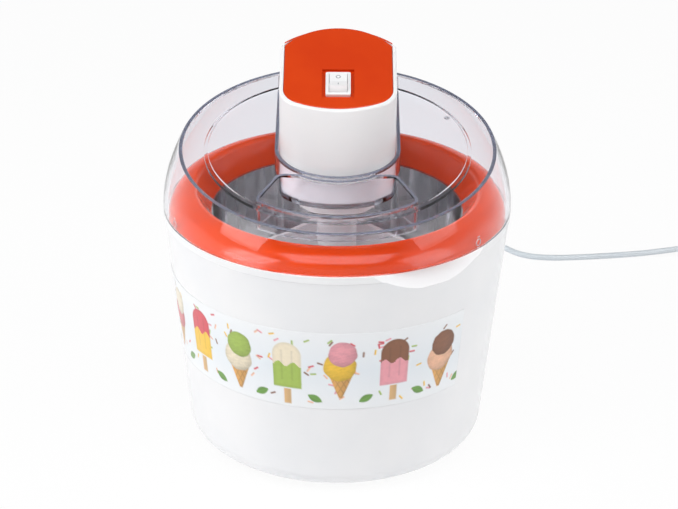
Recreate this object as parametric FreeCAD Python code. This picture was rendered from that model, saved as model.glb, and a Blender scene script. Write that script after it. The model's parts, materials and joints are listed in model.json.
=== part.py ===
import FreeCAD, Part
import math
import os

V = FreeCAD.Vector
UP = V(0, 0, 1)
FAR = 400.0
TINY = 1e-6

# All sizes are in millimetres. The origin is on the floor, on the bowl's axis, and the front is -Y.

# How far a cut reaches past the face that it opens
cut_margin = 1.0

# Bucket
foot_height = 2.0
foot_radius = 7.0
foot_inset = 16.0
foot_count = 4
foot_first_azimuth = 45.0
bucket_wall = 2.4
bucket_base_round = 13.0
bucket_taper = 13.3
bucket_crease_z = 14.5
bucket_flange_width = 9.1
bucket_rim_z = 150.4
bucket_lip_height = 4.4
bucket_lip_step = 0.5
rest_rib_inset = 12.0
rest_rib_width = 3.0
rest_rib_height = 3.8

# Finger scoop in the bucket's rim, right of the front
scoop_azimuth = -57.0
scoop_depth = 7.0
scoop_height = 12.3
scoop_reach = 60.0

# Freezing bowl
bowl_mouth_radius = 75.5
bowl_floor_radius = 70.5
bowl_floor_z = 30.0
bowl_corner_radius = 12.0
bowl_rim_drop = 4.4
bowl_wall = 1.2
bowl_jacket_width = 14.5
bowl_shell_taper = 6.0
bowl_shell_low_z = 20.0
bowl_shell_round = 10.0
bowl_shell_wall = 1.5
bowl_seal_height = 3.4
bowl_seal_overhang = 0.4
bowl_collar_gap = 2.0
gel_headroom = 3.0
gel_gap = 0.1

# Collar with a three-lug bayonet
collar_lid_gap = 0.5
collar_crest_inset = 14.8
collar_crest_height = 11.1
collar_shoulder_inset = 3.7
collar_shoulder_height = 6.2
collar_brow_width = 3.4
collar_brow_drop = 2.0
collar_brow_round = (2.0, 0.5)
collar_lip_overhang = 1.1
collar_wall = 2.3
collar_skirt_wall = 2.2
collar_seat_gap = 0.1
collar_lip_gap = 0.3
collar_fit_gap = 0.6
lug_count = 3
lug_first_azimuth = 100.0
lug_span = 12.0
lug_height = 4.0
lug_reach = 2.6
lug_gap = 0.5
lug_side_gap = 1.5

# Lid
lid_gap = 0.4
lid_overhang = 0.7
lid_rim_inset = 10.0
lid_height = 36.4
lid_slope = 0.157
lid_wall = 2.2
lid_section_count = 7
lid_joint_gap = 0.05
lid_rim_width = 17.2
lid_recess_depth = 1.8
well_gap = 0.8
well_floor_gap = 0.2
drive_hole_gap = 0.6

# Filler opening in the lid and the chute under it
filler_edge_gap = 5.3
filler_inner_y = -37.4
filler_shoulder = (22.0, -31.0)
filler_horn = (34.0, -30.0)
filler_corner_x = 46.0
filler_corner_radius = 4.0
chute_wall = 1.8
chute_depth = 29.0

# Motor unit's casing
tower_depth = 24.2
tower_half_width = 34.7
tower_front_y = -30.2
tower_front_radius = 40.0
tower_corner_radius = 30.0
tower_side_end_y = 31.0
tower_back_y = 45.9
tower_waist_height = 23.0
top_front_setback = 1.0
top_front_radius = 60.0
top_corner_radius = 16.0
top_axis_height = 43.3
top_tilt = 18.0
housing_wall = 2.2
housing_edge_radius = 1.0
roof_thickness = 1.8
tail_overhang = 17.0
tail_height = 27.0
tail_edge_radius = 7.0

# Coloured top panel and the switch on it
panel_border = 2.3
panel_thickness = 2.6
panel_apron_length = 15.0
panel_apron_thickness = 2.1
panel_gap = 0.1
panel_edge_radius = 1.2
switch_y = -3.4
switch_recess_width = 18.9
switch_recess_length = 26.6
switch_recess_depth = 1.6
switch_width = 14.8
switch_length = 20.9
bezel_height = 1.9
bezel_wall = 1.9
bezel_corner_radius = 1.2
switch_body_inset = 1.0
switch_body_depth = 12.0
switch_floor = 1.5
rocker_gap = 0.3
rocker_half_turn = 9.0
rocker_pivot_depth = 2.2
rocker_height = 4.3
rocker_root = 3.6
rocker_end_rise = 0.2
rocker_dip = 0.8
terminal_width = 4.8
terminal_thickness = 0.8
terminal_length = 6.0
terminal_pitch = 7.0
terminal_count = 2

# Base plate with the drive boss
plate_thickness = 2.5
plate_gap = 0.15
plate_overlap = 10.0
boss_radius = 23.7
boss_height = 11.0
boss_wall = 2.2
bush_tube_wall = 2.4

# Gear train: addendum and dedendum are in modules
output_module = 1.0
input_module = 0.8
pinion_teeth = 12
wheel_teeth = 36
tooth_backlash = 0.34
tooth_addendum = 0.9
tooth_dedendum = 1.25
tooth_root_share = 0.95
pressure_angle = 20.0
gear_floor_gap = 2.0
output_gear_width = 6.0
gear_layer_gap = 2.0
input_gear_width = 4.0
gear_hub_rise = 1.0
pinion_overlap = 0.5
gear_plate_gap = 2.5
gear_plate_thickness = 2.0
gear_plate_half_width = 28.0
gear_plate_front_y = -8.0
gear_plate_back_y = 61.0
pillar_radius = 3.0
pillar_front = (21.0, 12.0)
pillar_back = (24.0, 56.0)
running_gap = 0.05

# Shafts
output_shaft_radius = 4.0
output_bush_wall = 2.2
drive_square = 8.0
drive_length = 13.0
seal_radius = 8.0
seal_height = 1.5
axle_radius = 1.5
axle_bush_wall = 1.5

# Synchronous motor
can_radius = 22.6
can_height = 22.0
can_wall = 1.0
can_side_gap = 1.0
can_neck_length = 3.0
bobbin_inner_radius = 13.4
bobbin_wall = 1.2
bobbin_end_gap = 1.0
bobbin_fit_gap = 0.25
magnet_air_gap = 0.8
magnet_end_gap = 2.0

# Screws
post_half_width = 3.5
post_height = 15.0
post_front_inset = 8.7
post_front_y = -8.0
post_back_inset = 7.2
post_back_y = 47.5
screw_radius = 1.4
screw_head_radius = 2.6
screw_head_height = 1.6
screw_length = 11.0
screw_slot_width = 0.8
screw_slot_depth = 0.8

# Paddle
paddle_hub_radius = 12.0
paddle_hub_length = 34.0
paddle_top_gap = 0.8
paddle_socket_gap = 0.15
paddle_thickness = 4.0
paddle_wall_gap = 4.5
paddle_floor_gap = 2.0
paddle_bar = 11.0
paddle_shoulder_drop = 34.0
paddle_blade_tilt = 35.0
paddle_blade_width = 16.0
paddle_blade_length = 40.0

# Mains cord
cord_diameter = 4.2
cord_floor_gap = 0.05
cord_arc_share = 0.45
relief_length = 26.0
relief_root_radius = 4.4
relief_tip_radius = 2.9
relief_flange_radius = 6.0
relief_flange_length = 2.0
relief_height = 14.0
coil_centre = (-10.0, 205.0)
coil_radius = 27.0
coil_pitch = 4.8
coil_layer_step = 4.8
coil_half_turns_in = 4
coil_lift = 1.0
tie_width = 7.0
tie_thickness = 0.7
tie_gap = 0.25
tie_side_gap = 0.7
plug_length = 38.0
plug_neck_radius = 3.6
plug_width = 33.0
plug_thickness = 13.0
plug_z = 6.6
plug_neck_length = 13.0
plug_neck_corner = 3.2
plug_corner = 3.6
plug_waist_width = 10.0
plug_waist_height = 9.0
plug_shoulder_length = 24.7
plug_shoulder_width = 28.4
pin_radius = 2.0
pin_length = 19.0
pin_pitch = 18.6

# Radii that follow from the bowl's mouth outwards
bowl_shell_top_radius = bowl_mouth_radius + bowl_jacket_width
bowl_shell_low_radius = bowl_shell_top_radius - bowl_shell_taper
bowl_shell_base_radius = bowl_shell_low_radius - bowl_shell_round
rest_rib_radius = bowl_shell_base_radius - rest_rib_inset
skirt_inner_radius = bowl_shell_top_radius + bowl_seal_overhang + bowl_collar_gap
skirt_outer_radius = skirt_inner_radius + collar_skirt_wall
bucket_mouth_radius = skirt_outer_radius + collar_fit_gap
lug_radius = bucket_mouth_radius + lug_reach
bucket_rim_radius = bucket_mouth_radius + bucket_flange_width
bucket_crease_radius = bucket_rim_radius - bucket_taper
bucket_base_radius = bucket_crease_radius - bucket_base_round
foot_circle_radius = bucket_base_radius - foot_inset
lid_skirt_radius = bucket_rim_radius + lid_overhang
lid_rim_radius = lid_skirt_radius - lid_rim_inset
lid_recess_radius = lid_rim_radius - lid_rim_width
filler_outer_radius = lid_recess_radius - filler_edge_gap
collar_edge_radius = lid_skirt_radius - lid_wall - collar_lid_gap
collar_shoulder_radius = collar_edge_radius - collar_shoulder_inset
collar_crest_radius = collar_edge_radius - collar_crest_inset
collar_lip_radius = bowl_mouth_radius + collar_lip_overhang
magnet_radius = bobbin_inner_radius - magnet_air_gap

# Heights and places that follow from the sizes above
bowl_rim_z = bucket_rim_z - bowl_rim_drop
collar_crest_z = bucket_rim_z + collar_crest_height
collar_shoulder_z = bucket_rim_z + collar_shoulder_height
lid_bottom_z = bucket_rim_z + lid_gap
lid_top_z = lid_bottom_z + lid_height
tower_bottom_z = lid_top_z - tower_depth
tower_waist_z = tower_bottom_z + tower_waist_height
tail_top_z = tower_waist_z + tail_height
top_axis_z = tower_waist_z + top_axis_height
top_front_y = tower_front_y + top_front_setback
relief_z = tower_waist_z + relief_height
boss_bottom_z = tower_bottom_z - boss_height
plate_top_z = tower_bottom_z + plate_thickness
output_gear_z = plate_top_z + gear_floor_gap
input_gear_z = output_gear_z + output_gear_width + gear_layer_gap
gear_plate_z = input_gear_z + input_gear_width + gear_plate_gap
can_z = gear_plate_z + gear_plate_thickness
can_top_z = can_z + can_height
bowl_seal_z = bowl_rim_z - bowl_seal_height
bowl_bottom_z = foot_height + bucket_wall + rest_rib_height
flange_bottom_z = bucket_rim_z - bucket_lip_height
collar_bottom_z = bucket_rim_z + collar_seat_gap
drive_top_z = boss_bottom_z - seal_height - running_gap
drive_bottom_z = drive_top_z - drive_length
paddle_top_z = drive_top_z - paddle_top_gap
paddle_bottom_z = bowl_floor_z + paddle_floor_gap
paddle_shoulder_z = bowl_rim_z - paddle_shoulder_drop
output_distance = output_module * (pinion_teeth + wheel_teeth) / 2
input_distance = input_module * (pinion_teeth + wheel_teeth) / 2
middle_y = output_distance
rotor_y = output_distance + input_distance
tail_half_width = tower_half_width
post_front = (tower_half_width - post_front_inset, post_front_y)
post_back = (tower_half_width - post_back_inset, post_back_y)
tail_low_back_y = rotor_y + can_radius + can_side_gap + housing_wall
tail_back_y = tail_low_back_y + tail_overhang
cord_floor_z = cord_diameter / 2 + cord_floor_gap
coil_z = cord_floor_z + coil_lift
coil_top_z = coil_z + coil_layer_step
coil_side_x = coil_centre[0] + coil_radius

# The cord's route where it is not coiled: down from the strain relief to the coil, then on to the plug
drop_route = [
    (0, tail_back_y + relief_length, relief_z),
    (0, 128, relief_z),
    (1, 149, 189),
    (3, 162, 166),
    (5, 166, 133),
    (7, 164, 99),
    (10, 160, 66),
    (13, 161, 37),
    (15.5, 168, 16),
    (coil_side_x, 183, coil_z),
    (coil_side_x, coil_centre[1] - cord_diameter, coil_z),
]
run_route = [
    (coil_side_x, coil_centre[1] + cord_diameter, coil_top_z),
    (coil_side_x, 221, coil_top_z),
    (19.5, 237, 5.2),
    (27, 254, 2.7),
    (42, 267, cord_floor_z),
    (62, 274, cord_floor_z),
    (82, 275.5, cord_floor_z),
    (100, 272, cord_floor_z),
    (114, 264.5, cord_floor_z),
    (123.5, 251.5, cord_floor_z),
    (134, 239.5, cord_floor_z),
    (149, 234.3, cord_floor_z),
    (170, 234.8, cord_floor_z),
    (198, 238.5, cord_floor_z),
    (229, 243, 2.6),
    (258, 244.5, plug_z),
]


def save(name, shape):
    shape.exportStep("parts/" + name + ".step")


def block(x0, x1, y0, y1, z0, z1):
    return Part.makeBox(x1 - x0, y1 - y0, z1 - z0, V(x0, y0, z0))


def rod(radius, z0, z1, x=0.0, y=0.0):
    return Part.makeCylinder(radius, z1 - z0, V(x, y, z0))


def ring(inner, outer, z0, z1, x=0.0, y=0.0):
    return rod(outer, z0, z1, x, y).cut(rod(inner, z0, z1, x, y))


def merged(shapes):
    return shapes[0].multiFuse(shapes[1:]).removeSplitter()


def edges_through(start, steps):
    """Edges from point to point; a step of two points is an arc's middle and its end."""
    edges = []
    here = start
    for step in steps:
        if isinstance(step, tuple):
            edges.append(Part.Arc(here, step[0], step[1]).toShape())
            here = step[1]
        else:
            edges.append(Part.LineSegment(here, step).toShape())
            here = step
    if here.distanceToPoint(start) > TINY:
        edges.append(Part.LineSegment(here, start).toShape())
    return edges


def profile(start, *steps):
    """Face in the plane of radius and height."""
    places = []
    for step in steps:
        if isinstance(step[0], tuple):
            places.append(tuple(V(r, 0, z) for r, z in step))
        else:
            places.append(V(step[0], 0, step[1]))
    return Part.Face(Part.Wire(edges_through(V(start[0], 0, start[1]), places)))


def turned(start, *steps):
    return profile(start, *steps).revolve(V(0, 0, 0), UP, 360)


def sector(inner, outer, z0, z1, azimuth, span):
    face = profile((inner, z0), (outer, z0), (outer, z1), (inner, z1))
    face.rotate(V(0, 0, 0), UP, azimuth - span / 2)
    return face.revolve(V(0, 0, 0), UP, span)


def above_slope(z, slope):
    """Everything above the plane that is z high on the axis and rises towards the back."""
    rise = FAR * slope
    low = [V(-FAR, -FAR, z - rise), V(-FAR, FAR, z + rise)]
    high = [V(-FAR, FAR, 2 * FAR), V(-FAR, -FAR, 2 * FAR)]
    outline = Part.makePolygon(low + high + low[:1])
    return Part.Face(outline).extrude(V(2 * FAR, 0, 0))


def quarter(start, end):
    """Middle of a round corner that leaves start level and reaches end upright."""
    bend = math.radians(45)
    across = math.sin(bend)
    rise = 1 - math.cos(bend)
    return start[0] + (end[0] - start[0]) * across, start[1] + (end[1] - start[1]) * rise


def upper_edges(solid):
    top_z = max(vertex.Z for vertex in solid.Vertexes)
    return [edge for edge in solid.Edges if abs(edge.CenterOfMass.z - top_z) < TINY]


def upright_edges(solid):
    return [edge for edge in solid.Edges if abs(edge.Vertexes[0].Z - edge.Vertexes[-1].Z) > TINY]


def lug_azimuths():
    return [lug_first_azimuth + 360 * i / lug_count for i in range(lug_count)]


def scoop_tool(inset):
    """Flat slanted cut across the rim, moved inwards by inset for the wall behind it."""
    low_radius = bucket_rim_radius - scoop_height * wall_taper()
    top = bucket_rim_z + bucket_lip_height
    lean = (low_radius - bucket_rim_radius + scoop_depth) / scoop_height
    inner = bucket_rim_radius - scoop_depth - inset - bucket_lip_height * lean
    low_z = bucket_rim_z - scoop_height - inset
    low_inner = inner + lean * (top - low_z)
    outer = inner + scoop_reach
    face = profile((inner, top), (low_inner, low_z), (outer, low_z), (outer, top))
    face.translate(V(0, -scoop_reach, 0))
    tool = face.extrude(V(0, 2 * scoop_reach, 0))
    tool.rotate(V(0, 0, 0), UP, scoop_azimuth)
    return tool


def wall_taper():
    return (bucket_rim_radius - bucket_crease_radius) / (bucket_rim_z - bucket_crease_z)


def make_outer_bucket():
    base = (bucket_base_radius, foot_height)
    crease = (bucket_crease_radius, bucket_crease_z)
    lip_radius = bucket_rim_radius + bucket_lip_step
    outside = turned(
        (0, foot_height),
        base,
        (quarter(base, crease), crease),
        (bucket_rim_radius, flange_bottom_z - bucket_lip_step),
        (lip_radius, flange_bottom_z),
        (lip_radius, bucket_rim_z),
        (0, bucket_rim_z),
    )
    floor_z = foot_height + bucket_wall
    inner_base = (bucket_base_radius, floor_z)
    inner_crease = (bucket_crease_radius - bucket_wall, bucket_crease_z)
    inside = turned(
        (0, floor_z),
        inner_base,
        (quarter(inner_base, inner_crease), inner_crease),
        (bucket_rim_radius - bucket_wall, flange_bottom_z),
        (0, flange_bottom_z),
    )
    shell = outside.cut(scoop_tool(0)).cut(inside.cut(scoop_tool(bucket_wall)))
    low_z = flange_bottom_z - cut_margin
    high_z = bucket_rim_z + cut_margin
    shell = shell.cut(rod(bucket_mouth_radius, low_z, high_z))
    span = lug_span + 2 * lug_side_gap
    for azimuth in lug_azimuths():
        slot = sector(bucket_mouth_radius - cut_margin, lug_radius + lug_gap, low_z, high_z, azimuth, span)
        shell = shell.cut(slot)
    rib = ring(rest_rib_radius - rest_rib_width, rest_rib_radius, floor_z, bowl_bottom_z)
    return merged([shell, rib])


def make_foot(number):
    azimuth = math.radians(foot_first_azimuth + 360 * number / foot_count)
    x = foot_circle_radius * math.cos(azimuth)
    y = foot_circle_radius * math.sin(azimuth)
    return rod(foot_radius, 0, foot_height, x, y)


def bowl_skin(inset, top_z):
    """Solid inside the bowl's inner wall, or with a negative inset the wall's outer side too."""
    floor_z = bowl_floor_z + inset
    bend = (bowl_floor_radius - bowl_corner_radius, floor_z)
    side = (bowl_floor_radius - inset, bowl_floor_z + bowl_corner_radius)
    mouth = bowl_mouth_radius - inset
    return turned((0, floor_z), bend, (quarter(bend, side), side), (mouth, top_z), (0, top_z))


def make_bowl_inner():
    return bowl_skin(-bowl_wall, bowl_rim_z).cut(bowl_skin(0, bowl_rim_z))


def bowl_case(inset):
    """Solid inside the freezing bowl's outer shell, inset by its wall."""
    floor_z = bowl_bottom_z + inset
    base = (bowl_shell_base_radius, floor_z)
    side = (bowl_shell_low_radius - inset, bowl_shell_low_z)
    top = bowl_seal_z - gel_gap
    rim = (bowl_shell_top_radius - inset, top)
    return turned((0, floor_z), base, (quarter(base, side), side), rim, (0, top))


def make_bowl_outer():
    return bowl_case(0).cut(bowl_case(bowl_shell_wall))


def make_coolant_gel():
    gel = bowl_case(bowl_shell_wall + gel_gap).cut(bowl_skin(-bowl_wall - gel_gap, bowl_rim_z))
    return gel.cut(rod(FAR, bowl_seal_z - gel_headroom, FAR))


def make_bowl_rim_seal():
    outer = bowl_shell_top_radius + bowl_seal_overhang
    seal = rod(outer, bowl_seal_z, bowl_rim_z)
    return seal.cut(bowl_skin(-bowl_wall - gel_gap, bowl_rim_z))


def make_collar_ring():
    lip_z = bowl_rim_z + collar_lip_gap
    brow = (collar_crest_radius - collar_brow_width, collar_crest_z - collar_brow_drop)
    brow_middle = (collar_crest_radius - collar_brow_round[0], collar_crest_z - collar_brow_round[1])
    under_crest = (collar_crest_radius, collar_crest_z - collar_wall)
    under_brow = (brow[0] + collar_wall, brow[1] - collar_wall / 2)
    shoulder = (collar_shoulder_radius, collar_shoulder_z)
    slant = collar_wall * math.sin(math.radians(45))
    under_shoulder = (shoulder[0] - slant, shoulder[1] - slant)
    shell = turned(
        (collar_edge_radius, collar_bottom_z),
        (shoulder, (collar_crest_radius, collar_crest_z)),
        (brow_middle, brow),
        (collar_lip_radius, lip_z),
        (collar_lip_radius + collar_wall, lip_z),
        under_brow,
        under_crest,
        (under_shoulder, (collar_edge_radius - collar_wall, collar_bottom_z)),
    )
    lug_top_z = flange_bottom_z - lug_gap
    lug_bottom_z = lug_top_z - lug_height
    skirt_top_z = collar_shoulder_z + collar_wall / 2
    pieces = [shell, ring(skirt_inner_radius, skirt_outer_radius, lug_bottom_z, skirt_top_z)]
    for azimuth in lug_azimuths():
        pieces.append(sector(skirt_inner_radius, lug_radius, lug_bottom_z, lug_top_z, azimuth, lug_span))
    return merged(pieces)


def lid_sections(inset):
    """Rings up the lid's domed side: level at the seam, tilted with the top at the rim."""
    drop = lid_skirt_radius - lid_rim_radius
    bend = (lid_height ** 2 + drop ** 2) / (2 * drop)
    sections = []
    for i in range(lid_section_count):
        share = i / (lid_section_count - 1)
        radius = lid_skirt_radius - bend + math.sqrt(bend ** 2 - (lid_height * share) ** 2) - inset
        centre = V(0, 0, lid_bottom_z + lid_height * share)
        back = centre.add(V(0, radius, lid_slope * share * radius))
        sections.append(Part.Wire(Part.Ellipse(back, centre.add(V(-radius, 0, 0)), centre).toShape()))
    return sections


def casing_edges(half, front_y, front_radius, corner_radius, side_end_y, back_y):
    """Plan of the motor unit: shallow front, round corners, straight sides and bowed back."""
    across = half - corner_radius
    reach = front_radius - corner_radius
    front_centre_y = front_y + front_radius
    corner_y = front_centre_y - math.sqrt(reach ** 2 - across ** 2)
    turn = math.atan2(across, front_centre_y - corner_y)
    joint = V(front_radius * math.sin(turn), front_centre_y - front_radius * math.cos(turn), 0)
    lean = (turn + math.pi / 2) / 2
    corner = V(across + corner_radius * math.sin(lean), corner_y - corner_radius * math.cos(lean), 0)
    left_joint = V(-joint.x, joint.y, 0)
    left_corner = V(-corner.x, corner.y, 0)
    start = V(half, corner_y, 0)
    return edges_through(start, [
        V(half, side_end_y, 0),
        (V(0, back_y, 0), V(-half, side_end_y, 0)),
        V(-half, corner_y, 0),
        (left_corner, left_joint),
        (V(0, front_y, 0), joint),
        (corner, start),
    ])


def tower_wire(grow, z):
    edges = casing_edges(
        tower_half_width + grow,
        tower_front_y - grow,
        tower_front_radius + grow,
        tower_corner_radius + grow,
        tower_side_end_y,
        tower_back_y + grow,
    )
    wire = Part.Wire(edges)
    wire.translate(V(0, 0, z))
    return wire


def on_top(shape, depth=0.0):
    """Puts a shape drawn on the level plane onto the tilted top, depth below its surface."""
    shape.translate(V(0, 0, -depth))
    shape.rotate(V(0, 0, 0), V(1, 0, 0), top_tilt)
    shape.translate(V(0, 0, top_axis_z))
    return shape


def top_wire(grow, back_grow):
    tilt = math.cos(math.radians(top_tilt))
    return Part.Wire(casing_edges(
        tower_half_width + grow,
        top_front_y - grow,
        top_front_radius + grow,
        top_corner_radius + grow,
        tower_side_end_y / tilt,
        tower_back_y / tilt + back_grow,
    ))


def prism(wire, height):
    return Part.Face(wire).extrude(V(0, 0, height))


def tower_solid(grow, bottom_z, depth):
    """Motor tower from bottom_z to its tilted top, grown sideways, with the top lowered by depth."""
    low = prism(tower_wire(grow, bottom_z), tower_waist_z - bottom_z)
    high = Part.makeLoft([tower_wire(grow, tower_waist_z), on_top(top_wire(grow, grow), depth)], True, True)
    return low.fuse(high)


def tail_solids(grow, end_y, floor_drop, top_z):
    """Rear part of the motor unit: a deep block behind the tower and a shallow one back to the rim."""
    half = tail_half_width + grow
    deep = block(-half, half, tower_side_end_y, tail_low_back_y + grow, tower_bottom_z - floor_drop, top_z)
    shallow = block(-half, half, tower_side_end_y, end_y, tower_waist_z - floor_drop, top_z)
    return [deep, shallow]


def well_solid(grow, floor_drop):
    """Space in the lid that the motor unit stands in, open at the top and at the back."""
    front = prism(tower_wire(grow, tower_bottom_z - floor_drop), FAR)
    return merged([front] + tail_solids(grow, FAR, floor_drop, FAR))


def filler_face():
    corner_y = -math.sqrt(filler_outer_radius ** 2 - filler_corner_x ** 2)
    start = V(filler_shoulder[0], filler_shoulder[1], 0)
    edges = edges_through(start, [
        (V(0, filler_inner_y, 0), V(-filler_shoulder[0], filler_shoulder[1], 0)),
        V(-filler_horn[0], filler_horn[1], 0),
        V(-filler_corner_x, corner_y, 0),
        (V(0, -filler_outer_radius, 0), V(filler_corner_x, corner_y, 0)),
        V(filler_horn[0], filler_horn[1], 0),
    ])
    return Part.Face(Part.Wire(edges))


def filler_prism(grow, bottom_z):
    """Crescent prism with its four outer corners rounded, grown for the chute's wall."""
    prism_solid = filler_face().extrude(V(0, 0, FAR))
    corners = []
    for edge in prism_solid.Edges:
        first = edge.Vertexes[0].Point
        last = edge.Vertexes[-1].Point
        upright = math.hypot(first.x - last.x, first.y - last.y) < TINY
        if upright and abs(first.x) > filler_shoulder[0] + TINY:
            corners.append(edge)
    rounded = prism_solid.makeFillet(filler_corner_radius, corners)
    floor = [face for face in rounded.Faces if abs(face.CenterOfMass.z) < TINY][0]
    if grow:
        floor = floor.makeOffset2D(grow)
    solid = floor.extrude(V(0, 0, FAR))
    if solid.Volume < 0:
        solid.reverse()
    solid.translate(V(0, 0, bottom_z))
    return solid


def make_lid_wall():
    """Domed side of the lid, open at the back where the motor unit's tail lies."""
    outer = lid_sections(0)
    inner = lid_sections(lid_wall)
    faces = Part.makeLoft(outer, False, False).Faces + Part.makeLoft(inner, False, False).Faces
    for i in (0, -1):
        faces.append(Part.makeFace([outer[i], inner[i]], "Part::FaceMakerBullseye"))
    shell = Part.makeShell(faces)
    shell.sewShape()
    wall = Part.makeSolid(shell)
    if wall.Volume < 0:
        wall.reverse()
    half = tail_half_width + well_gap
    return wall.cut(block(-half, half, tail_low_back_y, FAR, tower_waist_z - well_floor_gap, FAR))


def make_lid_top():
    """Tilted top of the lid with the motor unit's well, the filler opening and its chute."""
    chute_bottom_z = lid_top_z - chute_depth
    edge = lid_rim_radius - lid_wall - lid_joint_gap
    disc = rod(edge, 0, FAR).common(above_slope(lid_top_z - lid_wall, lid_slope))
    dish = rod(lid_recess_radius + lid_wall, 0, FAR).common(
        above_slope(lid_top_z - lid_recess_depth - lid_wall, lid_slope)
    )
    well = well_solid(well_gap + lid_wall, well_floor_gap + lid_wall).common(rod(edge, 0, FAR))
    top = merged([disc, dish, well, filler_prism(chute_wall, chute_bottom_z)])
    top = top.cut(above_slope(lid_top_z, lid_slope))
    recess = rod(lid_recess_radius, 0, FAR).common(above_slope(lid_top_z - lid_recess_depth, lid_slope))
    top = top.cut(recess).cut(well_solid(well_gap, well_floor_gap)).cut(filler_prism(0, 0))
    return top.cut(rod(boss_radius + drive_hole_gap, 0, FAR))


def switch_frame(shape, depth=0.0):
    """Puts a shape drawn about the switch's own centre onto the top panel."""
    along = switch_y / math.cos(math.radians(top_tilt))
    shape.translate(V(0, along, 0))
    return on_top(shape, depth)


def switch_hole(gap):
    half_width = switch_width / 2 - switch_body_inset + gap
    half_length = switch_length / 2 - switch_body_inset + gap
    depth = panel_thickness + roof_thickness + switch_body_depth
    return switch_frame(block(-half_width, half_width, -half_length, half_length, -depth, cut_margin))


def panel_solid(gap, edge_radius):
    """The coloured panel and its rear apron, grown by gap for the seat that it lies in."""
    inset = gap - panel_border
    back_grow = panel_apron_thickness + gap
    plate = prism(top_wire(inset, back_grow), panel_thickness + gap)
    if edge_radius:
        plate = plate.makeFillet(edge_radius, upper_edges(plate))
    plate = on_top(plate, panel_thickness + gap)
    outside = prism(tower_wire(back_grow, 0), FAR)
    inside = prism(tower_wire(-gap, 0), FAR)
    skirt = outside.cut(inside)
    lower = top_axis_z - panel_apron_length - gap
    slope = math.tan(math.radians(top_tilt))
    band = skirt.common(above_slope(lower, slope)).cut(above_slope(top_axis_z - panel_thickness / 2, slope))
    half = tower_half_width - panel_border + gap
    return plate, band.common(block(-half, half, tower_side_end_y, FAR, 0, FAR))


def make_control_panel():
    plate, apron = panel_solid(0, panel_edge_radius)
    panel = merged([plate, apron])
    half_width = switch_recess_width / 2
    half_length = switch_recess_length / 2
    recess = block(-half_width, half_width, -half_length, half_length, -switch_recess_depth, cut_margin)
    recess = switch_frame(recess)
    return panel.cut(recess).cut(switch_hole(panel_gap))


def slanted_edges(tower):
    """Edges round the tower's tilted top."""
    slope = math.tan(math.radians(top_tilt))
    found = []
    for edge in tower.Edges:
        middle = edge.valueAt((edge.FirstParameter + edge.LastParameter) / 2)
        places = [vertex.Point for vertex in edge.Vertexes] + [middle]
        if all(abs(place.z - top_axis_z - place.y * slope) < TINY for place in places):
            found.append(edge)
    return found


def make_motor_housing():
    tail_top = []
    for box in tail_solids(0, tail_back_y, 0, tail_top_z):
        tail_top.append(rounded_tail(box, tail_edge_radius))
    tower = tower_solid(0, tower_bottom_z, 0)
    tower = tower.makeFillet(housing_edge_radius, slanted_edges(tower))
    outside = merged([tower] + tail_top)
    room_top = panel_thickness + roof_thickness
    wall = housing_wall
    tail_room = tail_solids(-wall, tail_back_y - wall, -wall, tail_top_z - wall)
    tail_room[0] = tail_room[0].fuse(tail_room[0].translated(V(0, 0, -housing_wall)))
    inside = tower_solid(-housing_wall, tower_bottom_z, room_top).multiFuse(tail_room)
    housing = outside.cut(inside)
    plate, apron = panel_solid(panel_gap, 0)
    housing = housing.cut(plate).cut(apron).cut(switch_hole(panel_gap))
    housing = housing.cut(relief_rod(relief_tip_radius, tail_back_y - 2 * wall, tail_back_y + cut_margin))
    pieces = [housing]
    for x, y in post_places():
        outer_x = math.copysign(tower_half_width - wall / 2, x)
        inner_x = x - math.copysign(post_half_width, x)
        low_x = min(inner_x, outer_x)
        high_x = max(inner_x, outer_x)
        z0 = plate_top_z + plate_gap
        post = block(low_x, high_x, y - post_half_width, y + post_half_width, z0, z0 + post_height)
        pieces.append(post.common(outside))
    housing = merged(pieces)
    for x, y in post_places():
        housing = housing.cut(rod(screw_radius, tower_bottom_z, tower_bottom_z + screw_length, x, y))
    return housing


def rounded_tail(box, radius):
    """Rounds the tail's upper side edges and its upper back edge."""
    front_y = box.BoundBox.YMin
    edges = [edge for edge in upper_edges(box) if abs(edge.CenterOfMass.y - front_y) > TINY]
    return box.makeFillet(radius, edges)


def post_places():
    places = []
    for x, y in (post_front, post_back):
        places += [(x, y), (-x, y)]
    return places


def pillar_places():
    places = []
    for x, y in (pillar_front, pillar_back):
        places += [(x, y), (-x, y)]
    return places


def make_motor_base_plate():
    inset = -housing_wall - plate_gap
    half = tail_half_width + inset
    flat = prism(tower_wire(inset, tower_bottom_z), plate_thickness)
    rear_front_y = tower_side_end_y - plate_overlap
    rear = block(-half, half, rear_front_y, tail_low_back_y + inset, tower_bottom_z, plate_top_z)
    plate = merged([flat, rear, rod(boss_radius, boss_bottom_z, plate_top_z)])
    plate = plate.cut(rod(boss_radius - boss_wall, boss_bottom_z + boss_wall, FAR))
    bush_radius = output_shaft_radius + output_bush_wall
    tube = rod(bush_radius + bush_tube_wall, boss_bottom_z, plate_top_z)
    plate = merged([plate, tube]).cut(rod(bush_radius, boss_bottom_z - cut_margin, FAR))
    seat = rod(2 * axle_radius, plate_top_z, output_gear_z - gear_floor_gap / 2, 0, middle_y)
    plate = merged([plate, seat])
    plate = plate.cut(rod(axle_radius, tower_bottom_z + plate_thickness / 2, FAR, 0, middle_y))
    for x, y in post_places():
        plate = plate.cut(rod(screw_radius, 0, FAR, x, y))
        head_top_z = tower_bottom_z + screw_head_height
        plate = plate.cut(rod(screw_head_radius, tower_bottom_z - cut_margin, head_top_z, x, y))
    return plate


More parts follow.
